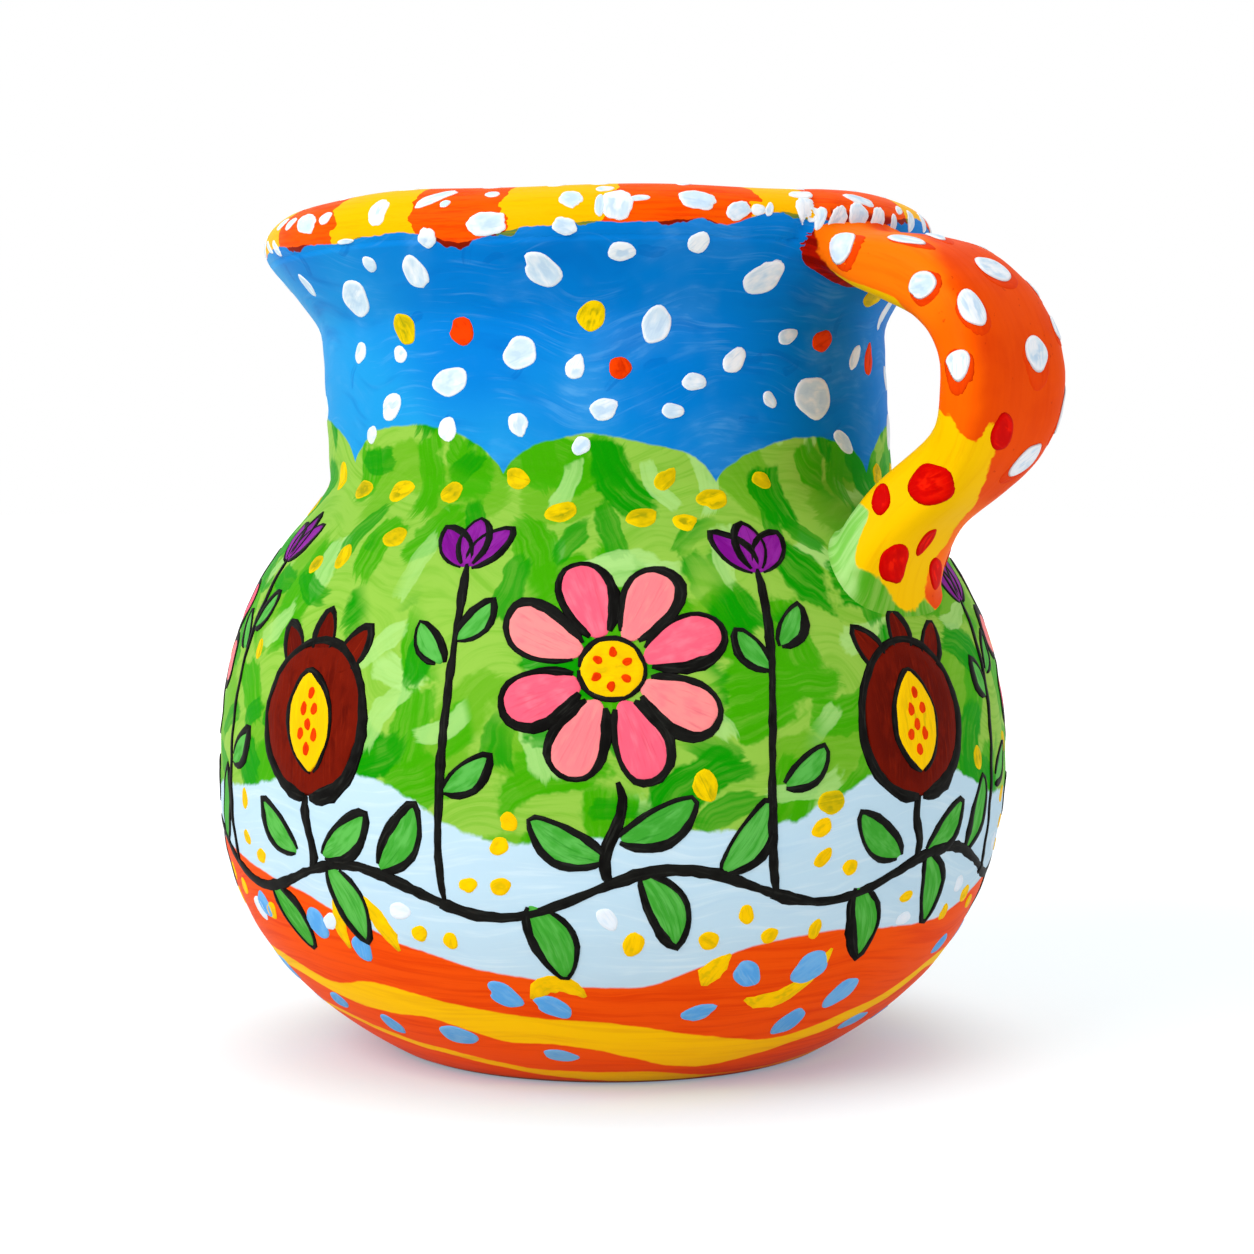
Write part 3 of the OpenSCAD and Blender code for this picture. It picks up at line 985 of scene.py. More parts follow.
# %% One brush line
uneven = np.random.default_rng(23)
LINE_ACROSS = np.array([-1, -0.7, 0, 0.7, 1, 0, -1])
LINE_HEIGHT = np.array([0, 0.85, 1, 0.85, 0, 0, 0])
LINE_GAP = 1.7


def brush_line(surface, spot, path, width, thick=0.24, taper=(0.45, 0.45), lift=0.04, swell=0.0):
    """A raised line along a path of (x, y) points in mm round a spot. Swell makes one part of it thicker."""
    path = even(np.asarray(path, float), LINE_GAP)
    count = len(path)
    piece, column, row = fresh_grid("brush_line", len(LINE_ACROSS), count)
    ahead = np.gradient(path, axis=0)
    ahead /= np.linalg.norm(ahead, axis=1)[:, None] + 1e-9
    along = np.linspace(0, 1, count)
    phase = draw.random(3) * 2 * math.pi
    press = 1 + 0.13 * np.sin(along * count * 0.21 + phase[0]) + 0.1 * np.sin(along * count * 0.55 + phase[1])
    press += 0.07 * draw.uniform(-1, 1, count)
    press *= 1 + swell * np.cos(along * 2 * math.pi + phase[2])
    tip = np.minimum(taper[0] + along * count / 3.0, taper[1] + (1 - along) * count / 3.0)
    press *= np.minimum(tip, 1)
    edges = 1 + 0.13 * uneven.uniform(-1, 1, (2, count))
    side = LINE_ACROSS[column]
    edge = np.where(side < 0, edges[0][row], edges[1][row])
    across = side * press[row] * edge * width / 2
    x = path[row, 0] - ahead[row, 1] * across
    y = path[row, 1] + ahead[row, 0] * across
    crest_out = LINE_HEIGHT[column] * thick * (0.55 + 0.45 * np.minimum(press[row], 1.2))
    out = np.where(LINE_HEIGHT[column] > 0, crest_out, -EDGE_SUNK)
    write_points(piece, surface(spot, x, y, out + lift))
    write_uv(piece, along[row] * count * LINE_GAP + phase[2] * 20, across)
    write_values(piece, "rim", np.abs(side))
    write_values(piece, "tone", np.full(len(x), draw.random()))
    return piece


patch = paint_disc("one_patch", 32, (0.05, 0.17, 0.24, 0.26), (1.0, 0.86, 0.8, 0.8), (0.3, 0.35))


def petal_plan(long, wide, full=0.0, curl=0.0):
    """A petal or leaf along x. Full widens its far end, curl bends it."""
    return lambda x, y: (long * x, wide * y * (1 + full * x) + curl * (x * x - 0.4))


def leaf_plan(long, wide, curl):
    """A leaf with pointed ends."""
    return lambda x, y: (long * x, wide * y * (1 - 0.32 * x * x) + curl * (x * x - 0.4))


def set_at(plan, x0, y0, tilt):
    """A plan turned by a tilt and moved."""

    def placed(x, y):
        u, v = turned(*plan(x, y), tilt)
        return u + x0, v + y0

    return placed


def shape(name, plan, spot, thick=0.15, lift=0.0):
    """A filled shape, with an edge as uneven as a brush leaves it."""
    phase = uneven.random(3) * 2 * math.pi

    def painted_plan(x, y):
        angle = np.arctan2(y, x)
        ring = 1 + 0.02 * np.sin(3 * angle + phase[0]) + 0.018 * np.sin(6 * angle + phase[1])
        ring += 0.014 * np.sin(10 * angle + phase[2])
        return plan(x * ring, y * ring)

    return lay_copy(patch, name, painted_plan, on_skin, spot, thick, lift)


def outlined(plan, spot, width, start=-170, end=172, lift=0.04, swell=0.34):
    """A brush line round a plan, in degrees from its far end, thicker on one side."""
    angle = np.radians(np.linspace(start, end, 60))
    wobble = 1.02 + 0.02 * np.sin(3 * angle + draw.random() * 6)
    x, y = plan(np.cos(angle) * wobble, np.sin(angle) * wobble)
    return brush_line(on_skin, spot, np.stack([x, y], 1), width, lift=lift, swell=swell)


pink, blush, brick, leaves, plum, yellow, seeds, black = [], [], [], [], [], [], [], []
print("one patch", len(patch.data.polygons), "faces")

# %% Vine round the belly
VINE_HEIGHT, VINE_SWING = 47, 4.5


def vine_height(turn):
    """The height of the vine at a turn in degrees."""
    angle = math.radians(turn)
    return VINE_HEIGHT + VINE_SWING * math.sin(angle * 8 + 0.5) + 1.2 * math.sin(angle * 3)


VINE_PARTS = 8
for part in range(VINE_PARTS):
    centre = part * 360 / VINE_PARTS
    middle = vine_height(centre)
    turns = np.linspace(-23.2, 23.2, 40)
    levels = np.array([vine_height(centre + t) for t in turns])
    path = np.stack([np.radians(turns) * radius_at(levels), rise_at(levels) - rise_at(middle)], 1)
    black.append(brush_line(on_skin, (centre, middle), path, 2.5, taper=(0.9, 0.9)))
leaf_places = []


def leaf(spot, x0, y0, tilt, long, wide, curl):
    """A green leaf with a black line along one side and part of the other."""
    plan = set_at(leaf_plan(long, wide, curl), x0, y0, tilt)
    leaves.append(shape("leaf", plan, spot))
    turn, height = spot
    leaf_places.append((turn + math.degrees(x0 / radius_at(height)), rise_at(height) + y0, long * 0.6))
    first = draw.uniform(-176, -160)
    black.append(outlined(plan, spot, draw.uniform(1.5, 2.1), first, first + draw.uniform(300, 345)))


LEAF_SPOTS = []
for number in range(24):
    turn = number * 15 + 7.5 + draw.uniform(-1.5, 1.5)
    up = 1 if number % 3 == 1 else -1
    turn -= 7 * (up > 0)
    spot = (turn, vine_height(turn))
    tilt = up * draw.uniform(52, 74)
    long = draw.uniform(8, 9.5)
    leaf(spot, up * 2, up * 8.5, tilt, long, draw.uniform(3.4, 4.2), 1.6 * up)
    LEAF_SPOTS.append((turn, spot[1] + up * 8, 7))
print("vine leaves", len(leaves))

# %% Rosettes
ROSETTE_HEIGHT, ROSETTE_PETALS = 92, 8
ROSETTE_TURNS = (0, 90, 180, 270)


def rosette(turn):
    """Eight round petals, a yellow eye with seeds, and a stem down to the vine."""
    spot = (turn, ROSETTE_HEIGHT)
    spin = draw.uniform(0, 45)
    for number in range(ROSETTE_PETALS):
        tilt = spin + number * 360 / ROSETTE_PETALS + draw.uniform(-4, 4)
        plan = set_at(petal_plan(8.6, 5.0, 0.34, draw.uniform(-0.8, 0.8)), *turned(15, 0, tilt), tilt)
        (pink if number % 2 else blush).append(shape("petal", plan, spot, lift=0.05 * (number % 2)))
        black.append(outlined(plan, spot, draw.uniform(1.7, 2.4), -146, 146))
    eye = set_at(petal_plan(6.4, 6.0), 0, 0, 0)
    yellow.append(shape("eye", eye, spot, thick=0.3, lift=0.12))
    black.append(outlined(eye, spot, 1.5, -178, 176, lift=0.12))
    for angle in np.arange(0, 360, 60) + draw.uniform(0, 60):
        x, y = turned(3.4, 0, angle)
        plan = set_at(dab_outline(1.05, 0.9, angle), x, y, 0)
        seeds.append(lay_copy(dab, "seed", plan, on_skin, spot, 0.2, lift=0.3))
    drop = rise_at(vine_height(turn)) - rise_at(ROSETTE_HEIGHT)
    black.append(brush_line(on_skin, spot, bend((1, -22.5), (5, -30), (-5, -36), (0, drop), 30), 2.7))
    leaf(spot, 9.5, -31, 28, 8.6, 3.6, 1.4)
    leaf(spot, -9.5, -35, 152, 8.6, 3.6, -1.4)


for turn in ROSETTE_TURNS:
    rosette(turn)
print("petals", len(pink) + len(blush))

# %% Fruits
FRUIT_HEIGHT = 80
FRUIT_TURNS = (45, 135, 225, 315)


def fruit(turn):
    """A round red fruit with a crown, cut open on its yellow flesh."""
    spot = (turn, FRUIT_HEIGHT)
    for number, tilt in enumerate((122, 90, 58)):
        c, s = math.cos(math.radians(tilt)), math.sin(math.radians(tilt))
        plan = set_at(leaf_plan(6.0, 3.0, 0.4), 18.5 * c, 17.5 * s, tilt)
        brick.append(shape("crown", plan, spot, lift=0.04 * number))
        black.append(outlined(plan, spot, 1.7, -120, 120))
    round_plan = set_at(petal_plan(16.2, 15.4), 0, 0, 90)
    brick.append(shape("fruit", round_plan, spot, lift=0.1))
    black.append(outlined(round_plan, spot, 2.7, -176, 178, lift=0.08))
    flesh = set_at(leaf_plan(10.5, 6.6, 0), 0, -0.5, 90 + draw.uniform(-14, 14))
    yellow.append(shape("flesh", flesh, spot, thick=0.25, lift=0.25))
    black.append(outlined(flesh, spot, 1.6, -172, 175, lift=0.25))
    for x, y in ((0, 5.4), (-1.8, 1.9), (1.9, 2.1), (0, -1.2), (-2.2, -3.2), (2.1, -3.4), (0, -6.4)):
        plan = set_at(dab_outline(1.35, 1.0, 90), x + draw.uniform(-0.3, 0.3), y, 0)
        seeds.append(lay_copy(dab, "seed", plan, on_skin, spot, 0.22, lift=0.4))
    drop = rise_at(vine_height(turn)) - rise_at(FRUIT_HEIGHT)
    black.append(brush_line(on_skin, spot, bend((0, -16), (-3, -21), (4, -26), (0, drop), 20), 2.7))
    leaf(spot, 11, -24, 38, 8.0, 3.4, 1.2)
    leaf(spot, -11, -24, 142, 8.0, 3.4, -1.2)


for turn in FRUIT_TURNS:
    fruit(turn)
print("fruits", sum(part.name.startswith("fruit") for part in brick))

# %% Buds between them
BUDS = (
    (-22.5, 112), (22.5, 111), (68, 103), (112.5, 112), (157.5, 110), (202.5, 113), (247.5, 111),
    (292.5, 112),
)
for turn, height in BUDS:
    spot = (turn, height)
    for tilt in (128, 52, 90):
        plan = set_at(leaf_plan(6.2, 3.2, 0), *turned(6, 0, tilt), tilt)
        lift = 0.05 * (tilt == 90)
        plum.append(shape("bud", plan, spot, lift=lift))
        black.append(outlined(plan, spot, 1.5, -150, 150, lift=lift))
    drop = rise_at(vine_height(turn)) - rise_at(height)
    sway = draw.uniform(-3, 3)
    stem = bend((0, 0.5), (2 + sway, drop * 0.35), (-4 + sway, drop * 0.7), (0, drop), 40)
    black.append(brush_line(on_skin, spot, stem, 2.0))
    leaf(spot, 4.8, -12.5, 54, 5.4, 2.6, 0.8)
    leaf(spot, -4.8, -17.5, 128, 5.4, 2.6, -0.8)
    leaf(spot, 5.5, drop * 0.62, 38, 6.2, 2.8, 0.9)
print("buds", len(plum) // 3)

# %% Dots on the belly
def off_leaves(dots):
    """The dots that no leaf covers."""
    kept = []
    for dot in dots:
        turn, height, long = dot[:3]
        gaps = []
        for leaf_turn, leaf_rise, reach in leaf_places:
            aside = ((turn - leaf_turn + 180) % 360 - 180) * math.pi / 180 * radius_at(height)
            gaps.append(math.hypot(aside, rise_at(height) - leaf_rise) - reach)
        if min(gaps) > long:
            kept.append(dot)
    return kept


STRAP_TURN = 49.6
STEM_TURNS = np.arange(0, 360, 45)
ALL_ROUND = (0, 360)
# Places to keep clear, as (turn, height, reach)
keep_off = [(turn, ROSETTE_HEIGHT, 24) for turn in ROSETTE_TURNS]
keep_off += [(turn, FRUIT_HEIGHT + 2, 20) for turn in FRUIT_TURNS]
keep_off += [(turn, height, 12) for turn, height in BUDS]
keep_off += [(turn, level, 3.5) for turn, height in BUDS for level in np.arange(52, height - 8, 5)]
keep_off += [(STRAP_TURN, 110, 25)]
keep_off += [(turn, level, 6) for turn in STEM_TURNS for level in (58, 66)]
keep_off += LEAF_SPOTS
belly_yellow = scatter(64, ALL_ROUND, (64, 131), (2.4, 3.7), 2.2, keep_off)
off_vine = [(turn, vine_height(turn), 2.5) for turn in np.arange(0, 360, 2.0)] + LEAF_SPOTS
for side in (-7, 0, 7):
    off_vine += [(turn + side, level, 6) for turn in STEM_TURNS for level in (56, 61)]
for side in (-1.5, 1.5):
    off_vine += [(turn + side, level, 2) for turn, height in BUDS for level in (54, 58, 62)]
band_yellow = scatter(56, ALL_ROUND, (36, 62), (2.0, 2.9), 1.0, off_vine)
band_white = scatter(48, ALL_ROUND, (36, 62), (2.3, 3.8), 0.8, off_vine + band_yellow)
belly_mustard = dabs("belly_dot", on_skin, off_leaves(belly_yellow), thick=0.14)
yellow += dabs("belly_dot", on_skin, off_leaves(band_yellow), thick=0.14)
belly_white = dabs("band_dot", on_skin, off_leaves(band_white), thick=0.12)
BASE_SKY = [
    (-61.5, 37.5, 3.6, 3.0, -34), (-46.7, 36.3, 3.9, 3.5, 76), (63, 28, 3.5, 2.4, 30),
    (-38.6, 32.1, 3.3, 2.9, 84), (30.7, 28.9, 4.6, 4.3, 39), (20.4, 28.7, 4.2, 2.8, -54),
    (39.7, 21.5, 4.8, 3.6, 58), (-16.2, 24.3, 4.2, 3.2, -46), (-55.4, 16.5, 3.7, 2.7, 36),
    (-8.8, 21.8, 4.5, 3.0, -40), (32.2, 15.5, 5.1, 3.3, 74), (-43.3, 13, 3.7, 2.8, -76),
    (-28.2, 12.7, 4.6, 3.9, -12), (-9.4, 8.9, 3.9, 2.8, -12), (52, 12, 4.2, 2.8, 20),
    (14, 20, 3.8, 2.6, 20),
]
base_back = scatter(30, (70, 295), (8, 31), (3.0, 4.6), 4.0, BASE_SKY)
base_sky = dabs("base_sky", on_skin, BASE_SKY + base_back, thick=0.16)
print("dots", len(belly_mustard), "on green,", len(belly_white), "white,", len(base_sky), "at the base")

# %% Yellow swooshes at the base
# Turn, height, the four points of a bend in mm, and width
SWOOSHES = [
    (-37, 40, ((-6, -9), (-10, 7), (4, 8), (8, -8)), 4.6),
    (-8, 26, ((-5, -3), (-3, 3), (3, 3), (6, -2)), 5.0),
    (15.5, 30, ((-2, -4), (-2, 0), (1, 2), (2.5, 4)), 6.0),
    (28, 26, ((-9, -4), (-2, -8), (4, -2), (8, 8)), 4.4),
]
for turn in (84, 118, 150, 196, 236, 268):
    bow = draw.uniform(-6, 6)
    height = draw.uniform(24, 30)
    SWOOSHES.append((turn, height, ((-8, -3), (-3, bow - 3), (3, bow), (8, 4)), draw.uniform(4, 5.5)))
swooshes = []
for turn, height, path, wide in SWOOSHES:
    line = brush_line(on_skin, (turn, height), bend(*path, 20), wide, 0.1, taper=(0.3, 0.2), lift=0.0)
    swooshes.append(line)
print("swooshes", len(swooshes))

# %% [markdown]
# ## Acrylic paint
# Thick acrylic dries satin, with fine lines where the bristles ran and a thinner, paler middle in each touch.
# Each dab and line carries its own UV map in millimetres, so the bristle lines follow the stroke.
# The tone number differs from dab to dab, as the load of the brush did.

# %% A finish for one colour of paint
SHINE = 0.02


def coat(wire, shader, colour, roughness, relief, strength=0.25, depth=0.0003):
    """Gives a shader its colour, roughness and fine relief, with a low shine."""
    bump = wire.node("ShaderNodeBump", None, {"Strength": strength, "Distance": depth, "Height": relief})
    feed(shader, Base_Color=colour, Roughness=roughness, Normal=bump, Specular_IOR_Level=SHINE)


def acrylic(name, main, thin, dark, rim_gain, pool):
    """Paint of one colour: main where it is thick, thin where it is spread, dark in the bristle lines."""
    main, thin, dark = (srgb(*colour) for colour in (main, thin, dark))
    material, wire, shader = new_finish(name)
    across, along, _ = wire.node("ShaderNodeTexCoord", output=2).split()
    tone = wire.attribute("tone")
    edge = wire.attribute("rim")
    rim = edge.step(0.7, 0.93)
    hair = wire.join(across * 0.16, along * 1.5, tone * 40).noise(1.0, 3, 0.55)
    cloud = wire.join(across * 0.3, along * 0.42, tone * 70).noise(1.0, 2, 0.5)
    thinness = (cloud + tone * 0.3 - 0.15).step(0.3, 0.66)
    body_colour = (thinness * (1 - rim * rim_gain)).mix(main, thin)
    body_colour = (hair.step(0.52, 0.74) * (1 - rim * 0.6) * 0.6).mix(body_colour, dark)
    if pool:
        wet = (cloud.step(0.52, 0.62) - cloud.step(0.66, 0.76)) * (1 - edge.step(0.3, 0.75)) * pool
        body_colour = wet.mix(body_colour, dark)
    coat(wire, shader, body_colour, 0.4 + 0.2 * hair, hair + cloud * 0.6)
    return material


# Main, thin and dark colour, how far the rim keeps the main one, and how much dark paint pools inside it
PAINTS = {
    "white": ((240, 244, 247), (203, 224, 239), (184, 210, 232), 0.9, 0.7),
    "chalk": ((232, 241, 248), (218, 234, 246), (212, 230, 244), 0.6, 0.4),
    "yellow": ((254, 204, 0), (240, 190, 2), (206, 178, 6), 0.5, 0.6),
    "mustard": ((244, 206, 0), (204, 178, 4), (150, 150, 10), 0.6, 0.8),
    "orange": ((238, 64, 0), (226, 54, 0), (190, 40, 0), 0.5, 0.5),
    "red": ((204, 2, 0), (226, 8, 0), (246, 30, 4), 0.9, 0.8),
    "halo": ((226, 58, 0), (234, 68, 0), (205, 44, 0), 0.5, 0.0),
    "sky": ((112, 180, 234), (86, 164, 230), (140, 194, 234), 0.5, 0.0),
    "pink": ((252, 142, 140), (248, 128, 134), (224, 106, 118), 0.5, 0.0),
    "blush": ((248, 96, 122), (250, 118, 138), (214, 76, 100), 0.5, 0.0),
    "brick": ((112, 20, 4), (92, 12, 2), (138, 34, 10), 0.5, 0.0),
    "leaf": ((62, 160, 48), (92, 182, 78), (36, 132, 30), 0.5, 0.0),
    "plum": ((124, 16, 136), (142, 38, 154), (98, 8, 112), 0.5, 0.0),
    "black": ((14, 13, 12), (24, 24, 22), (46, 47, 43), 0.5, 0.0),
}
paints = {name: acrylic(name + "_paint", *values) for name, values in PAINTS.items()}
print("paints", len(paints))

# %% [markdown]
# ## The painted wall
# The wall is covered in zones: blue on the neck, brushed greens on the belly, pale blue below and orange with
# yellow bands at the base. Flat colours would look printed, so two kinds of brush mark are laid over them.
# Long bristle lines come from a noise that is stretched round the jug. Short touches come from a Voronoi
# texture: each of its cells is one touch, with its own angle and bow, and soft ends where the brush lifts.

# %% Places on the skin
SKIN_RADIUS = 80
SEED_ASIDE, SEED_UP = 137, 71


def skin_place(wire):
    """Object coordinates, turn from the front, height in mm, and the turn's cosine and sine."""
    spot = wire.node("ShaderNodeTexCoord", output=3)
    x, y, z = spot.split()
    ahead = x * math.cos(FRONT) + y * math.sin(FRONT)
    aside = y * math.cos(FRONT) - x * math.sin(FRONT)
    reach = wire.math("SQRT", ahead * ahead + aside * aside)
    return spot, wire.math("ARCTAN2", aside, ahead), z * 1000, ahead / reach, aside / reach


def ring_noise(wire, place, reach, third, detail, roughness=0.5):
    """Noise round the jug. It is read at the turn's cosine and sine, so it has no seam."""
    cosine, sine = place[3:]
    return wire.join(cosine * reach, sine * reach, third).noise(1.0, detail, roughness)


def bristles(wire, place, run, gap, sway, seed):
    """Long lines that a brush leaves on its way round: their length, spacing and rise and fall, in mm."""
    spot, height = place[0], place[2]
    drift = (spot.noise(24, 1.5) - 0.5) * (2 * sway)
    return ring_noise(wire, place, SKIN_RADIUS / run, (height + drift) / gap + seed, 3, 0.6)


def strokes(wire, place, size, long, wide, slope, swing, seed):
    """Touches of a brush, sizes in mm: a mask, a random number for each touch, and its bristle lines."""
    spot, turn, height = place[:3]
    sway = wire.vector("SUBTRACT", spot.noise(46, 3, 0.6, output=1), (0.5, 0.5, 0.5))
    flat = wire.join(turn * SKIN_RADIUS + SEED_ASIDE * seed, height * 1.1 + SEED_UP * seed, 0.0)
    moved = wire.vector("MULTIPLY_ADD", sway, (9, 9, 0), flat)
    tooth = wire.vector("SUBTRACT", spot.noise(330, 2, 0.6, output=1), (0.5, 0.5, 0.5))
    frayed = wire.vector("MULTIPLY_ADD", tooth, (6, 6, 0), moved)
    settings = {"voronoi_dimensions": "2D", "feature": "F1"}
    values = {"Vector": frayed, "Scale": 1 / size, "Randomness": 0.8}
    cells = wire.node("ShaderNodeTexVoronoi", settings, values)
    border = wire.node("ShaderNodeTexVoronoi", {**settings, "feature": "DISTANCE_TO_EDGE"}, values)
    chance = cells.also("Color").split()
    aside, up, _ = wire.vector("SUBTRACT", moved, cells.also("Position")).split()
    angle = (chance[0] - 0.5) * math.radians(swing) + math.radians(slope)
    along = aside * angle.cos() + up * angle.sin()
    across = up * angle.cos() - aside * angle.sin() + (chance[2] - 0.5) * along * along * (1.6 / long)
    hair = wire.join(across * 0.8, along * 0.05, chance[1] * 50).noise(1.0, 3, 0.6)
    reach = along * (2 / long) * (1 + (hair - 0.5) * 0.9)
    flank = (across + tooth.split()[0] * (0.25 * wide)) * (2 / wide)
    fill = 1 - reach * reach * reach * reach - flank * flank * flank * flank
    mask = fill.step(0, 0.55) * border.step(0, 0.09) * (1 - abs(turn).step(3.0, 3.1))
    return mask, chance[1], hair


def edge_by_turn(wire, turn, marks, unit):
    """A value that follows marks of (degrees, value) round the jug. Unit is more than any value."""
    stops = [((degrees + 180) / 360, (value / unit,) * 3 + (1,)) for degrees, value in marks]
    ramp = wire.node("ShaderNodeValToRGB", {"smooth": stops}, {0: turn / (2 * math.pi) + 0.5})
    return ramp.split()[0] * unit


# %% Blue of the neck
NECK_BLUE, WASH_AND_LIT_BLUE = srgb(0, 121, 206), srgb(34, 160, 222)
STREAK_BLUE, DEEP_BLUE = srgb(112, 184, 236), srgb(0, 104, 190)


def neck_blue(wire, place):
    """Blue, lighter in uneven patches and, as painted light, low down and on the left, with chalky scuffs and
    a few darker flicks. Gives the colour and its relief.
    """
    spot, turn, height, cosine, sine = place
    patchy = spot.noise(34, 3, 0.6)
    # Painted light: the lighter blue grows towards the bottom of the neck and towards the left, where the
    # lamps light it more; noise makes it uneven.
    wash_and_painted_light = (spot.noise(16, 2) + (150 - height) / 170 - 0.45 * sine).step(0.5, 0.86)
    chalk = bristles(wire, place, 9, 1.7, 16, 40)
    fine = bristles(wire, place, 22, 1.1, 18, 0)
    broad = bristles(wire, place, 34, 5.5, 14, 30)
    blue = (wash_and_painted_light * 0.75).mix(NECK_BLUE, WASH_AND_LIT_BLUE)
    blue = (broad.step(0.5, 0.76) * 0.6).mix(blue, DEEP_BLUE)
    broken = fine.step(0.52, 0.76) * spot.noise(75, 2).step(0.36, 0.6)
    scuff = patchy.step(0.48, 0.7) * (0.12 + chalk.step(0.46, 0.7) * 0.3) + broken * 0.22
    blue = scuff.mix(blue, STREAK_BLUE)
    flick, chance, hair = strokes(wire, place, 13, 7, 2.0, 35, 70, 6)
    dark = flick * chance.step(0.68, 0.74) * hair.step(0.36, 0.6) * 0.5
    return dark.mix(blue, DEEP_BLUE), fine * 0.25 + chalk * 0.15


# %% Lip colours in turn
# Turns, in degrees, where each block begins, and marks of (turn, height in mm) where the paint stops
LIP_ORANGE, LIP_YELLOW = srgb(246, 87, 0), srgb(252, 185, 0)
LIP_EDGES = (
    -180, -155, -138, -117, -100, -82, -68, -50, -33.5, -17.5, 0, 21.5, 35, 61, 70, 88, 104, 124, 141, 160,
    176,
)
LIP_UNIT = 200
LIP_LOW = (
    (-180, 180), (-160, 181.2), (-140, 179.4), (-115, 180.8), (-92, 179.2), (-76, 180.2), (-60, 179.5),
    (-48, 179.1), (-36, 180.3), (-31, 179.8), (-25, 178.2), (-20, 178.5), (-14, 180.1), (-5, 181.2),
    (8, 181.6), (14, 182.3), (18.5, 181.1), (23, 183.2), (28, 184.4), (34, 183.4), (46, 182), (54, 184.5),
    (62, 186), (72, 185.5), (84, 182), (100, 179.4), (125, 181), (150, 179), (180, 180),
)


def lip_paint(wire, place):
    """Orange and yellow blocks round the lip. Gives the colour, the share of orange and the bristle lines."""
    turn, height = place[1:3]
    ragged = ring_noise(wire, place, 10, height * 0.13, 1) - 0.5
    frayed = ring_noise(wire, place, 14, height * 0.8, 2) - 0.5
    where = turn / (2 * math.pi) + 0.5 + ragged * 0.034 + frayed * 0.007
    stops = [((edge + 180) / 360, BLACK if number % 2 else WHITE) for number, edge in enumerate(LIP_EDGES)]
    orange = wire.node("ShaderNodeValToRGB", {"stops": stops}, {0: where}).split()[0]
    hair = ring_noise(wire, place, 8, height * 1.6, 3, 0.6)
    warm = hair.step(0.4, 0.75).mix(LIP_ORANGE, srgb(238, 66, 0))
    bright = hair.step(0.45, 0.8).mix(LIP_YELLOW, srgb(244, 176, 0))
    return orange.mix(bright, warm), orange, hair


def lip_over(wire, place, colour):
    """The lip's blocks over another colour, down to a hand-brushed edge with dark runs below it."""
    spot, turn, height = place[:3]
    blocks, orange, hair = lip_paint(wire, place)
    long_wave = ring_noise(wire, place, 9, 1.0, 1.5) - 0.5
    short_wave = ring_noise(wire, place, 30, 4.0, 2) - 0.5
    edge = height - edge_by_turn(wire, turn, LIP_LOW, LIP_UNIT) + long_wave * 1.4 + short_wave * 0.8
    runs = ring_noise(wire, place, 5, 8.0, 1)
    drip = edge + runs.step(0.46, 0.6) * 1.7 + short_wave * 1.4 - 0.6
    olive = hair.step(0.4, 0.6).mix(srgb(140, 136, 16), srgb(96, 126, 60))
    run_colour = orange.mix(olive, srgb(128, 22, 2))
    colour = drip.step(-0.12, 0.12).mix(colour, run_colour)
    beside_strap = turn.step(0.6, 0.66) * (1 - turn.step(0.94, 1.0)) * (1 - height.step(184.6, 186.2))
    blocks = (spot.noise(190, 2).step(0.47, 0.51) * beside_strap).mix(blocks, srgb(138, 18, 2))
    return edge.step(-0.12, 0.12).mix(colour, blocks), hair


# %% Colours of the wall
LIGHT_GREEN, MID_GREEN = srgb(144, 193, 70), srgb(98, 172, 22)
FRESH_GREEN, DARK_GREEN, PALE_GREEN = srgb(62, 164, 0), srgb(10, 146, 0), srgb(172, 220, 130)
PALE_BLUE, PALE_STREAK, PALE_DEEP = srgb(189, 219, 235), srgb(206, 229, 240), srgb(174, 208, 230)
BASE_ORANGE, BASE_DEEP = srgb(242, 82, 6), srgb(228, 64, 2)
BASE_YELLOW, BASE_GOLD = srgb(254, 202, 0), srgb(242, 184, 4)
# Edges round the base, as marks of (turn in degrees, height in mm)
ORANGE_TOP = (
    (-180, 41), (-165, 38), (-150, 32), (-135, 30), (-120, 34), (-100, 43), (-80, 49), (-59, 46), (-46, 42),
    (-34, 36), (-22, 31), (-10, 28), (0, 26.5), (8, 28), (18, 34), (31, 37), (44, 36), (57, 36), (68, 40),
    (85, 42), (102, 37), (118, 32), (135, 33), (152, 38), (170, 41), (180, 41),
)
BAND_TOP = (
    (-180, 24), (-150, 21), (-120, 19), (-90, 23), (-66, 25.5), (-51, 22), (-40, 24), (-28, 21.5),
    (-12, 19), (0, 18), (10, 15.5), (20, 13), (33, 11.5), (44, 15), (54, 19), (66, 25), (90, 22), (120, 18),
    (150, 21), (180, 24),
)
BAND_LOW = (
    (-180, 18), (-150, 14), (-120, 13), (-90, 18), (-66, 22), (-51, 18), (-41, 16.5), (-31, 16.5),
    (-20, 12.5), (-9, 12), (0, 10), (8, 7), (18, 5), (27, 6), (36, 8.5), (47, 12), (58, 17), (66, 22),
    (90, 16), (120, 12), (150, 15), (180, 18),
)
LINE_TOP = (
    (-180, 7), (-120, 8.5), (-66, 13.5), (-45, 9.7), (-32, 7.4), (-20, 4.8), (-6, 4), (10, 3.8), (25, 1.5),
    (60, 3), (110, 8), (150, 5), (180, 7),
)
LINE_LOW = (
    (-180, 5), (-120, 6.5), (-66, 12), (-45, 8), (-32, 5.7), (-20, 3.2), (-6, 1.5), (10, 0.6), (25, 1.2),
    (60, 2), (110, 6), (150, 4), (180, 5),
)

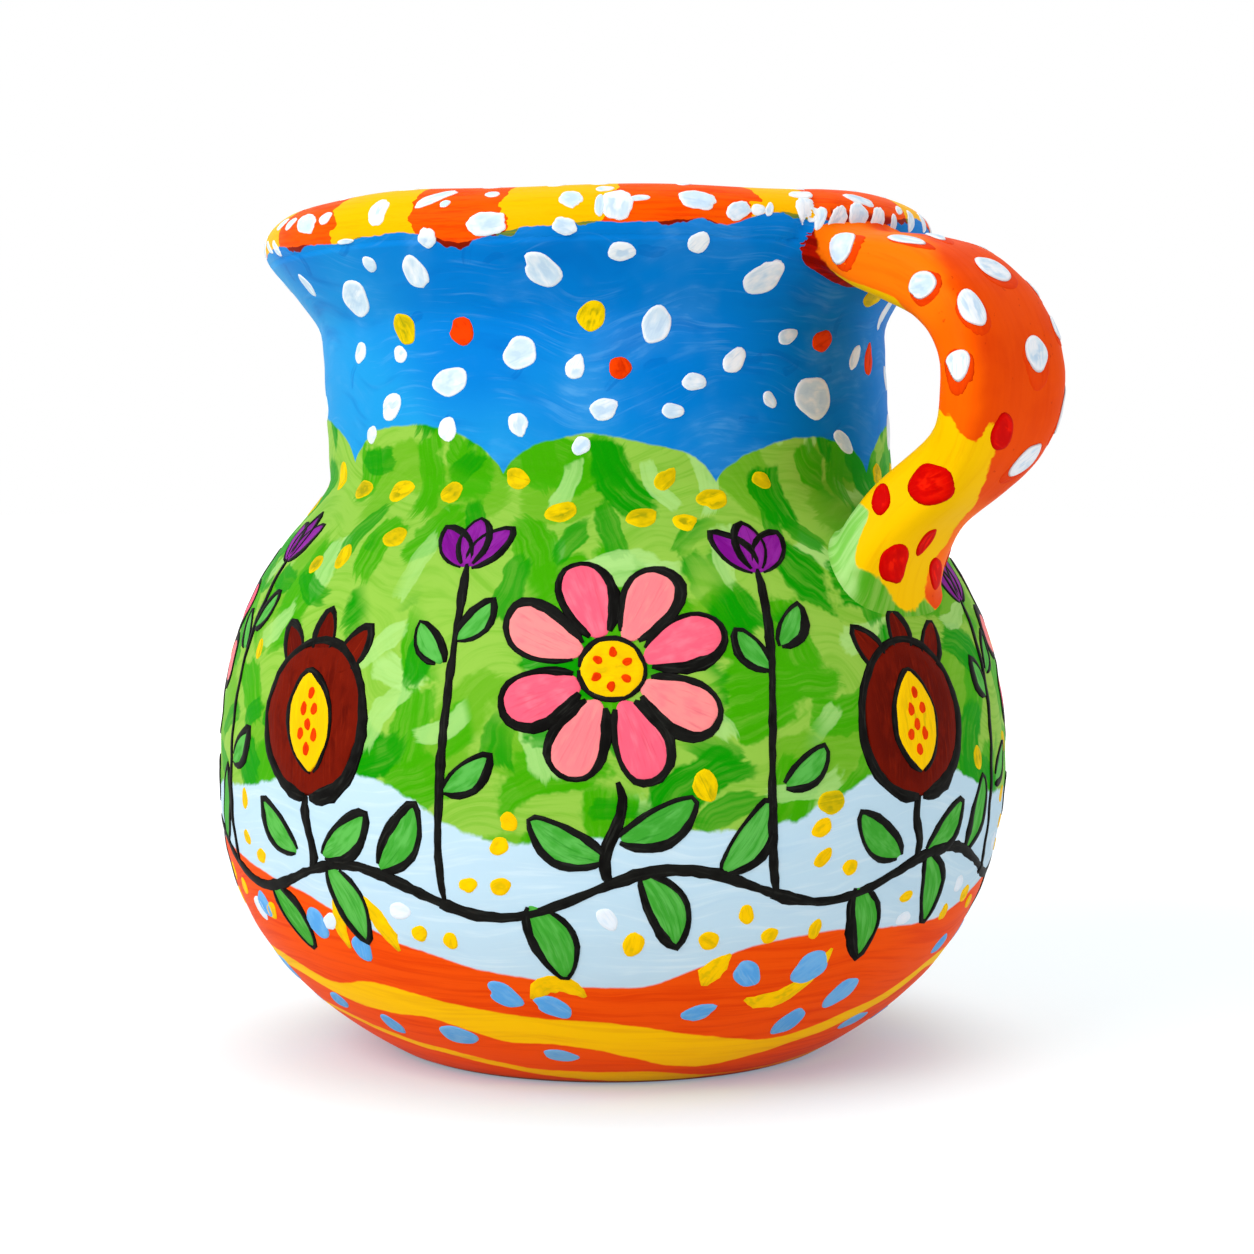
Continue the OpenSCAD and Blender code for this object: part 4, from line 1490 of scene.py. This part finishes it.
# %% Green belly
wall_finish, wire, shader = new_finish("painted_wall")
place = skin_place(wire)
spot, turn, height = place[:3]
ragged = (spot.noise(260, 3, 0.6) - 0.5) * 3
wavy = (spot.noise(60, 2) - 0.5) * 4
blue, blue_relief = neck_blue(wire, place)
fine = bristles(wire, place, 20, 1.3, 10, 0)
broad = bristles(wire, place, 34, 5.5, 14, 30)
cluster = (spot.noise(20, 2) - 0.5) * 1.1
ground = (bristles(wire, place, 18, 1.4, 30, 60).step(0.42, 0.72) * 0.5).mix(LIGHT_GREEN, MID_GREEN)
# Spacing, length and width in mm, slope and swing in degrees, seed, paint, share left out, cover
GREEN_TOUCHES = (
    (26, 28, 15, 10, 120, 3, MID_GREEN, 0.3, 0.85),
    (23, 26, 13, 35, 150, 4, FRESH_GREEN, 0.46, 1.0),
    (19, 20, 7, 25, 160, 7, PALE_GREEN, 0.6, 0.75),
    (18, 20, 10, 80, 150, 9, FRESH_GREEN, 0.5, 1.0),
    (21, 24, 11, 60, 170, 5, DARK_GREEN, 0.52, 1.0),
    (15, 15, 6, 15, 170, 8, DARK_GREEN, 0.62, 0.9),
    (17, 17, 5, 40, 170, 2, PALE_GREEN, 0.66, 0.7),
)
green_relief = 0.0
for size, long, wide, slope, swing, seed, paint, share, cover in GREEN_TOUCHES:
    mask, chance, hair = strokes(wire, place, size, long, wide, slope, swing, seed)
    picked = (chance + cluster).step(share, share + 0.06)
    load = mask * picked * (0.72 + 0.28 * hair.step(0.3, 0.6)) * cover
    ground = load.mix(ground, paint)
    green_relief = load * hair + green_relief
print("layers of green touches", len(GREEN_TOUCHES))

# %% Pale band and base
pale = (fine.step(0.48, 0.72) * 0.8).mix(PALE_BLUE, PALE_STREAK)
pale = (broad.step(0.56, 0.78) * 0.6).mix(pale, PALE_DEEP)
base_hair = bristles(wire, place, 30, 1.2, 5, 90)
orange = base_hair.step(0.42, 0.74).mix(BASE_ORANGE, BASE_DEEP)
gold = base_hair.step(0.42, 0.76).mix(BASE_YELLOW, BASE_GOLD)
soft = wavy * 0.16 + ragged * 0.2
BASE_UNIT = 60
over = []
for marks in (BAND_LOW, BAND_TOP, LINE_LOW, LINE_TOP):
    over.append((height - edge_by_turn(wire, turn, marks, BASE_UNIT) + soft).step(-0.25, 0.25))
base_colour = (over[0] - over[1] + over[2] - over[3]).mix(orange, gold)

# %% Zones together
GREEN_LOW = 63
HILL_COUNT, HILL_FOOT, HILL_RISE = 9, 127, 13.5
orange_edge = height - edge_by_turn(wire, turn, ORANGE_TOP, BASE_UNIT) + soft
green_edge = height - GREEN_LOW + 6 * (turn * 4).cos() - 2.4 * (turn * 9 + 1).sin() + wavy + ragged * 0.9
lobe = wire.math("FRACT", turn * (HILL_COUNT / (2 * math.pi)) + 10.5) * 2 - 1
hill = wire.math("SQRT", 1 - 0.9 * lobe * lobe)
hill_edge = height - HILL_FOOT - HILL_RISE * hill + 2.4 * (turn * 2 + 0.9).sin()
hill_edge = hill_edge + wavy * 0.9 + ragged * 0.35
on_green = green_edge.step(-0.5, 0.5) * (1 - hill_edge.step(-0.3, 0.3))
colour = orange_edge.step(-0.3, 0.3).mix(base_colour, pale)
colour = green_edge.step(-0.5, 0.5).mix(colour, ground)
colour = hill_edge.step(-0.3, 0.3).mix(colour, blue)

# %% Paint that ran over from the lip
colour = lip_over(wire, place, colour)[0]
relief = blue_relief + on_green * green_relief * 0.6
relief = relief + spot.noise(900, 2) * 0.12 + base_hair * 0.2
coat(wire, shader, colour, 0.4 + 0.16 * fine, relief)
print("wall nodes", len(wall_finish.node_tree.nodes))

# %% [markdown]
# ## Lip, bare clay and handle
# The lip uses the same paint functions as the wall, so the colours of the two meet. The handle has a UV map
# that runs round the strap and along it, each from about 0 to 1. An edge between two colours is then one of
# them against a curve of the other, and a colour ramp can hold that curve.

# %% Lip finish
CREST_RADIUS = 0.066
lip_finish, wire, shader = new_finish("painted_lip")
place = skin_place(wire)
spot = place[0]
x, y, _ = spot.split()
lip_colour, hair = lip_over(wire, place, neck_blue(wire, place)[0])
inner_side = 1 - wire.math("SQRT", x * x + y * y).step(CREST_RADIUS, CREST_RADIUS + MM)
lip_colour = inner_side.mix(lip_colour, lip_paint(wire, place)[0])
coat(wire, shader, lip_colour, 0.38 + 0.15 * hair, hair + spot.noise(700, 2) * 0.3, 0.28)
print("lip nodes", len(lip_finish.node_tree.nodes))

# %% Bare clay inside and underneath
clay_finish, wire, shader = new_finish("bare_clay")
spot = wire.node("ShaderNodeTexCoord", output=3)
x, y, z = spot.split()
rings = wire.join(x * 25, y * 25, z * 420).noise(1.0, 2, 0.5)
speck = spot.noise(1400, 2, 0.7).step(0.62, 0.74)
clay = rings.step(0.3, 0.7).mix(srgb(196, 124, 84), srgb(178, 106, 70))
clay = (speck * 0.5).mix(clay, srgb(120, 70, 48))
coat(wire, shader, clay, 0.78 + 0.12 * rings, rings + spot.noise(900, 3) * 0.4, 0.4, 0.0004)
print("clay nodes", len(clay_finish.node_tree.nodes))

# %% Edges of the handle's paint
# Tongue and foot are marks of (around, along), and the face's edge of (along, around)
TONGUE = (
    (0, 0.555), (0.1, 0.56), (0.172, 0.57), (0.24, 0.577), (0.27, 0.588), (0.325, 0.597), (0.343, 0.576),
    (0.37, 0.568), (0.42, 0.572), (0.66, 0.57), (0.8, 0.55), (1, 0.555),
)
FACE_EDGE = (
    (0, 0.4), (0.62, 0.402), (0.684, 0.455), (0.712, 0.5), (0.77, 0.545), (0.853, 0.583), (0.88, 0.573),
    (0.915, 0.561), (0.945, 0.558), (0.965, 0.572), (0.985, 0.605), (1, 0.61),
)
FOOT_EDGE = (
    (0, 0.87), (0.08, 0.865), (0.143, 0.856), (0.225, 0.853), (0.255, 0.885), (0.285, 0.922),
    (0.335, 0.929), (0.393, 0.946), (0.475, 0.974), (0.55, 0.963), (0.575, 0.966), (0.61, 0.984),
    (0.66, 0.978), (0.72, 0.94), (0.8, 0.925), (0.92, 0.88), (1, 0.87),
)


def edge_on_strap(place, marks):
    """A value that follows marks round or along the strap in smooth bends."""
    stops = [(at, (value, value, value, 1)) for at, value in marks]
    return place.node("ShaderNodeValToRGB", {"smooth": stops}, {0: place}).split()[0]


# %% Handle finish
handle_finish, wire, shader = new_finish("painted_handle")
around, along, _ = wire.node("ShaderNodeTexCoord", output=2).split()
spot = wire.node("ShaderNodeTexCoord", output=3)
hair = wire.join(around * 52, along * 7, 0.0).noise(1.0, 3, 0.55)
blot = spot.noise(130, 2) - 0.5
nick = spot.noise(420, 2, 0.6) - 0.5
wobble = blot * 0.035 + nick * 0.03
outward = 1 - abs(around - 0.5) * 2
# Painted light: the near side is painted a lighter orange for the light on it, and the outer face a darker
# orange for its shade; the two meet where the strap turns.
side = along.step(0.27, 0.4).mix(srgb(255, 118, 6), srgb(255, 100, 0))
side = (hair.step(0.45, 0.75) * 0.4).mix(side, srgb(248, 92, 0))
mottle = hair.step(0.42, 0.74) * 0.3 + (blot + 0.5).step(0.42, 0.7) * 0.5
face = mottle.mix(srgb(236, 76, 0), srgb(226, 64, 0))
turned_up = 0.3 * (1 - along.step(0.1, 0.32))
orange = (outward - turned_up + blot * 0.12).step(0.54, 0.68).mix(side, face)
scar = spot.noise(520, 2, 0.5).step(0.7, 0.74) * 0.6
orange = scar.mix(orange, srgb(206, 50, 0))
gold = (hair.step(0.5, 0.78) * 0.6).mix(srgb(250, 196, 0), srgb(240, 178, 0))
low = (along - edge_on_strap(around, TONGUE) + wobble).step(-0.003, 0.003)
past_near = (around - edge_on_strap(along, FACE_EDGE) + wobble).step(-0.006, 0.006)
past_far = (around - 0.7 + wobble).step(-0.006, 0.006)
beyond = past_near * (1 - past_far)
inner = (0.39 - 0.245 * along.step(0.2, 0.3) - outward + wobble * 0.5).step(-0.006, 0.006)
golden = wire.math("MAXIMUM", low * (1 - beyond), inner)
edge_orange = (along.step(0.68, 0.78) * (1 - along.step(0.93, 0.96))).mix(orange, srgb(255, 112, 6))
colour = golden.mix(edge_orange, gold)
near_root = -2.4 + 3.6 * (0.54 - outward).step(-0.09, 0.09) + 2.2 * (0.42 - outward).step(-0.06, 0.06)
root_shade = (near_root - wire.attribute("from_root") + blot * 3 + nick * 2).step(-0.2, 0.5)
colour = root_shade.mix(colour, hair.step(0.4, 0.65).mix(srgb(138, 10, 0), srgb(188, 20, 0)))
side_green = hair.step(0.35, 0.65).mix(srgb(172, 222, 132), srgb(128, 200, 82))
low_green = hair.step(0.35, 0.65).mix(srgb(128, 186, 70), srgb(80, 166, 26))
foot_green = (around + blot * 0.1).step(0.28, 0.34).mix(side_green, low_green)
on_foot = (along - edge_on_strap(around, FOOT_EDGE) + blot * 0.035 + nick * 0.012).step(-0.003, 0.003)
colour = on_foot.mix(colour, foot_green)
coat(wire, shader, colour, 0.4 + 0.14 * hair, hair + spot.noise(420, 2) * 0.4)
print("handle nodes", len(handle_finish.node_tree.nodes))

# %% [markdown]
# ## Putting it together
# Each group of dabs becomes one piece, because a jug has no use for hundreds of loose dots. Every piece
# rides on the only body, root, and the three clay pieces stand in for the CAD nodes, whose slip is smoothed
# into the clay.

# %% Join the paint
ROLLED = ("brush_lines_black", "base_swooshes_yellow")
painted = {
    "neck_dots_white": (neck_white, "white", "painted_body"),
    "neck_dots_yellow": (neck_yellow, "mustard", "painted_body"),
    "neck_dots_orange": (neck_orange, "orange", "painted_body"),
    "lip_dabs_white": (lip_white + inner_white, "white", "painted_lip"),
    "handle_dabs_white": (strap_white, "white", "painted_handle"),
    "handle_dab_halos": (strap_halo, "halo", "painted_handle"),
    "handle_dots_red": (strap_red, "red", "painted_handle"),
    "rosette_petals_pink": (pink, "pink", "painted_body"),
    "rosette_petals_rose": (blush, "blush", "painted_body"),
    "fruits_brick": (brick, "brick", "painted_body"),
    "leaves_green": (leaves, "leaf", "painted_body"),
    "buds_plum": (plum, "plum", "painted_body"),
    "belly_dots_yellow": (yellow, "yellow", "painted_body"),
    "belly_dots_mustard": (belly_mustard, "mustard", "painted_body"),
    "belly_dots_white": (belly_white, "chalk", "painted_body"),
    "base_dabs_sky": (base_sky, "sky", "painted_body"),
    "base_swooshes_yellow": (swooshes, "yellow", "painted_body"),
    "seeds_orange": (seeds, "orange", "painted_body"),
    "brush_lines_black": (black, "black", "painted_body"),
}
for name, (parts, paint, slot) in painted.items():
    piece = join_all(name, parts)
    if name in ROLLED:
        close_tube(piece)
    piece.data.materials.clear()
    piece.data.materials.append(paints[paint])
    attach(piece, "root")
    print(name, len(piece.data.polygons), "faces")
for master in (dab, big_dab, swipe, patch):
    bpy.data.objects.remove(master)

# %% Clay pieces
body.data.materials.append(wall_finish)
body.data.materials.append(clay_finish)
starts = np.empty(len(body.data.polygons), np.int32)
body.data.polygons.foreach_get("loop_start", starts)
bare = np.minimum.reduceat(outside[corner_points(body)].astype(int), starts) == 0
body.data.polygons.foreach_set("material_index", bare.astype(np.int32))
lip.data.materials.append(lip_finish)
handle.data.materials.append(handle_finish)
for piece, slot, nodes in (
    (body, "painted_body", ("body",)),
    (lip, "painted_lip", ("lip_coil", "lip_slip_joint")),
    (handle, "painted_handle", ("handle", "upper_slip_joint", "lower_slip_joint")),
):
    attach(piece, "root")
    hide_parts(*nodes)
    print(piece.name, "replaces", nodes)

# %% Size
low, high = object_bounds()
print("visual box", [round(v, 4) for v in low], [round(v, 4) for v in high])
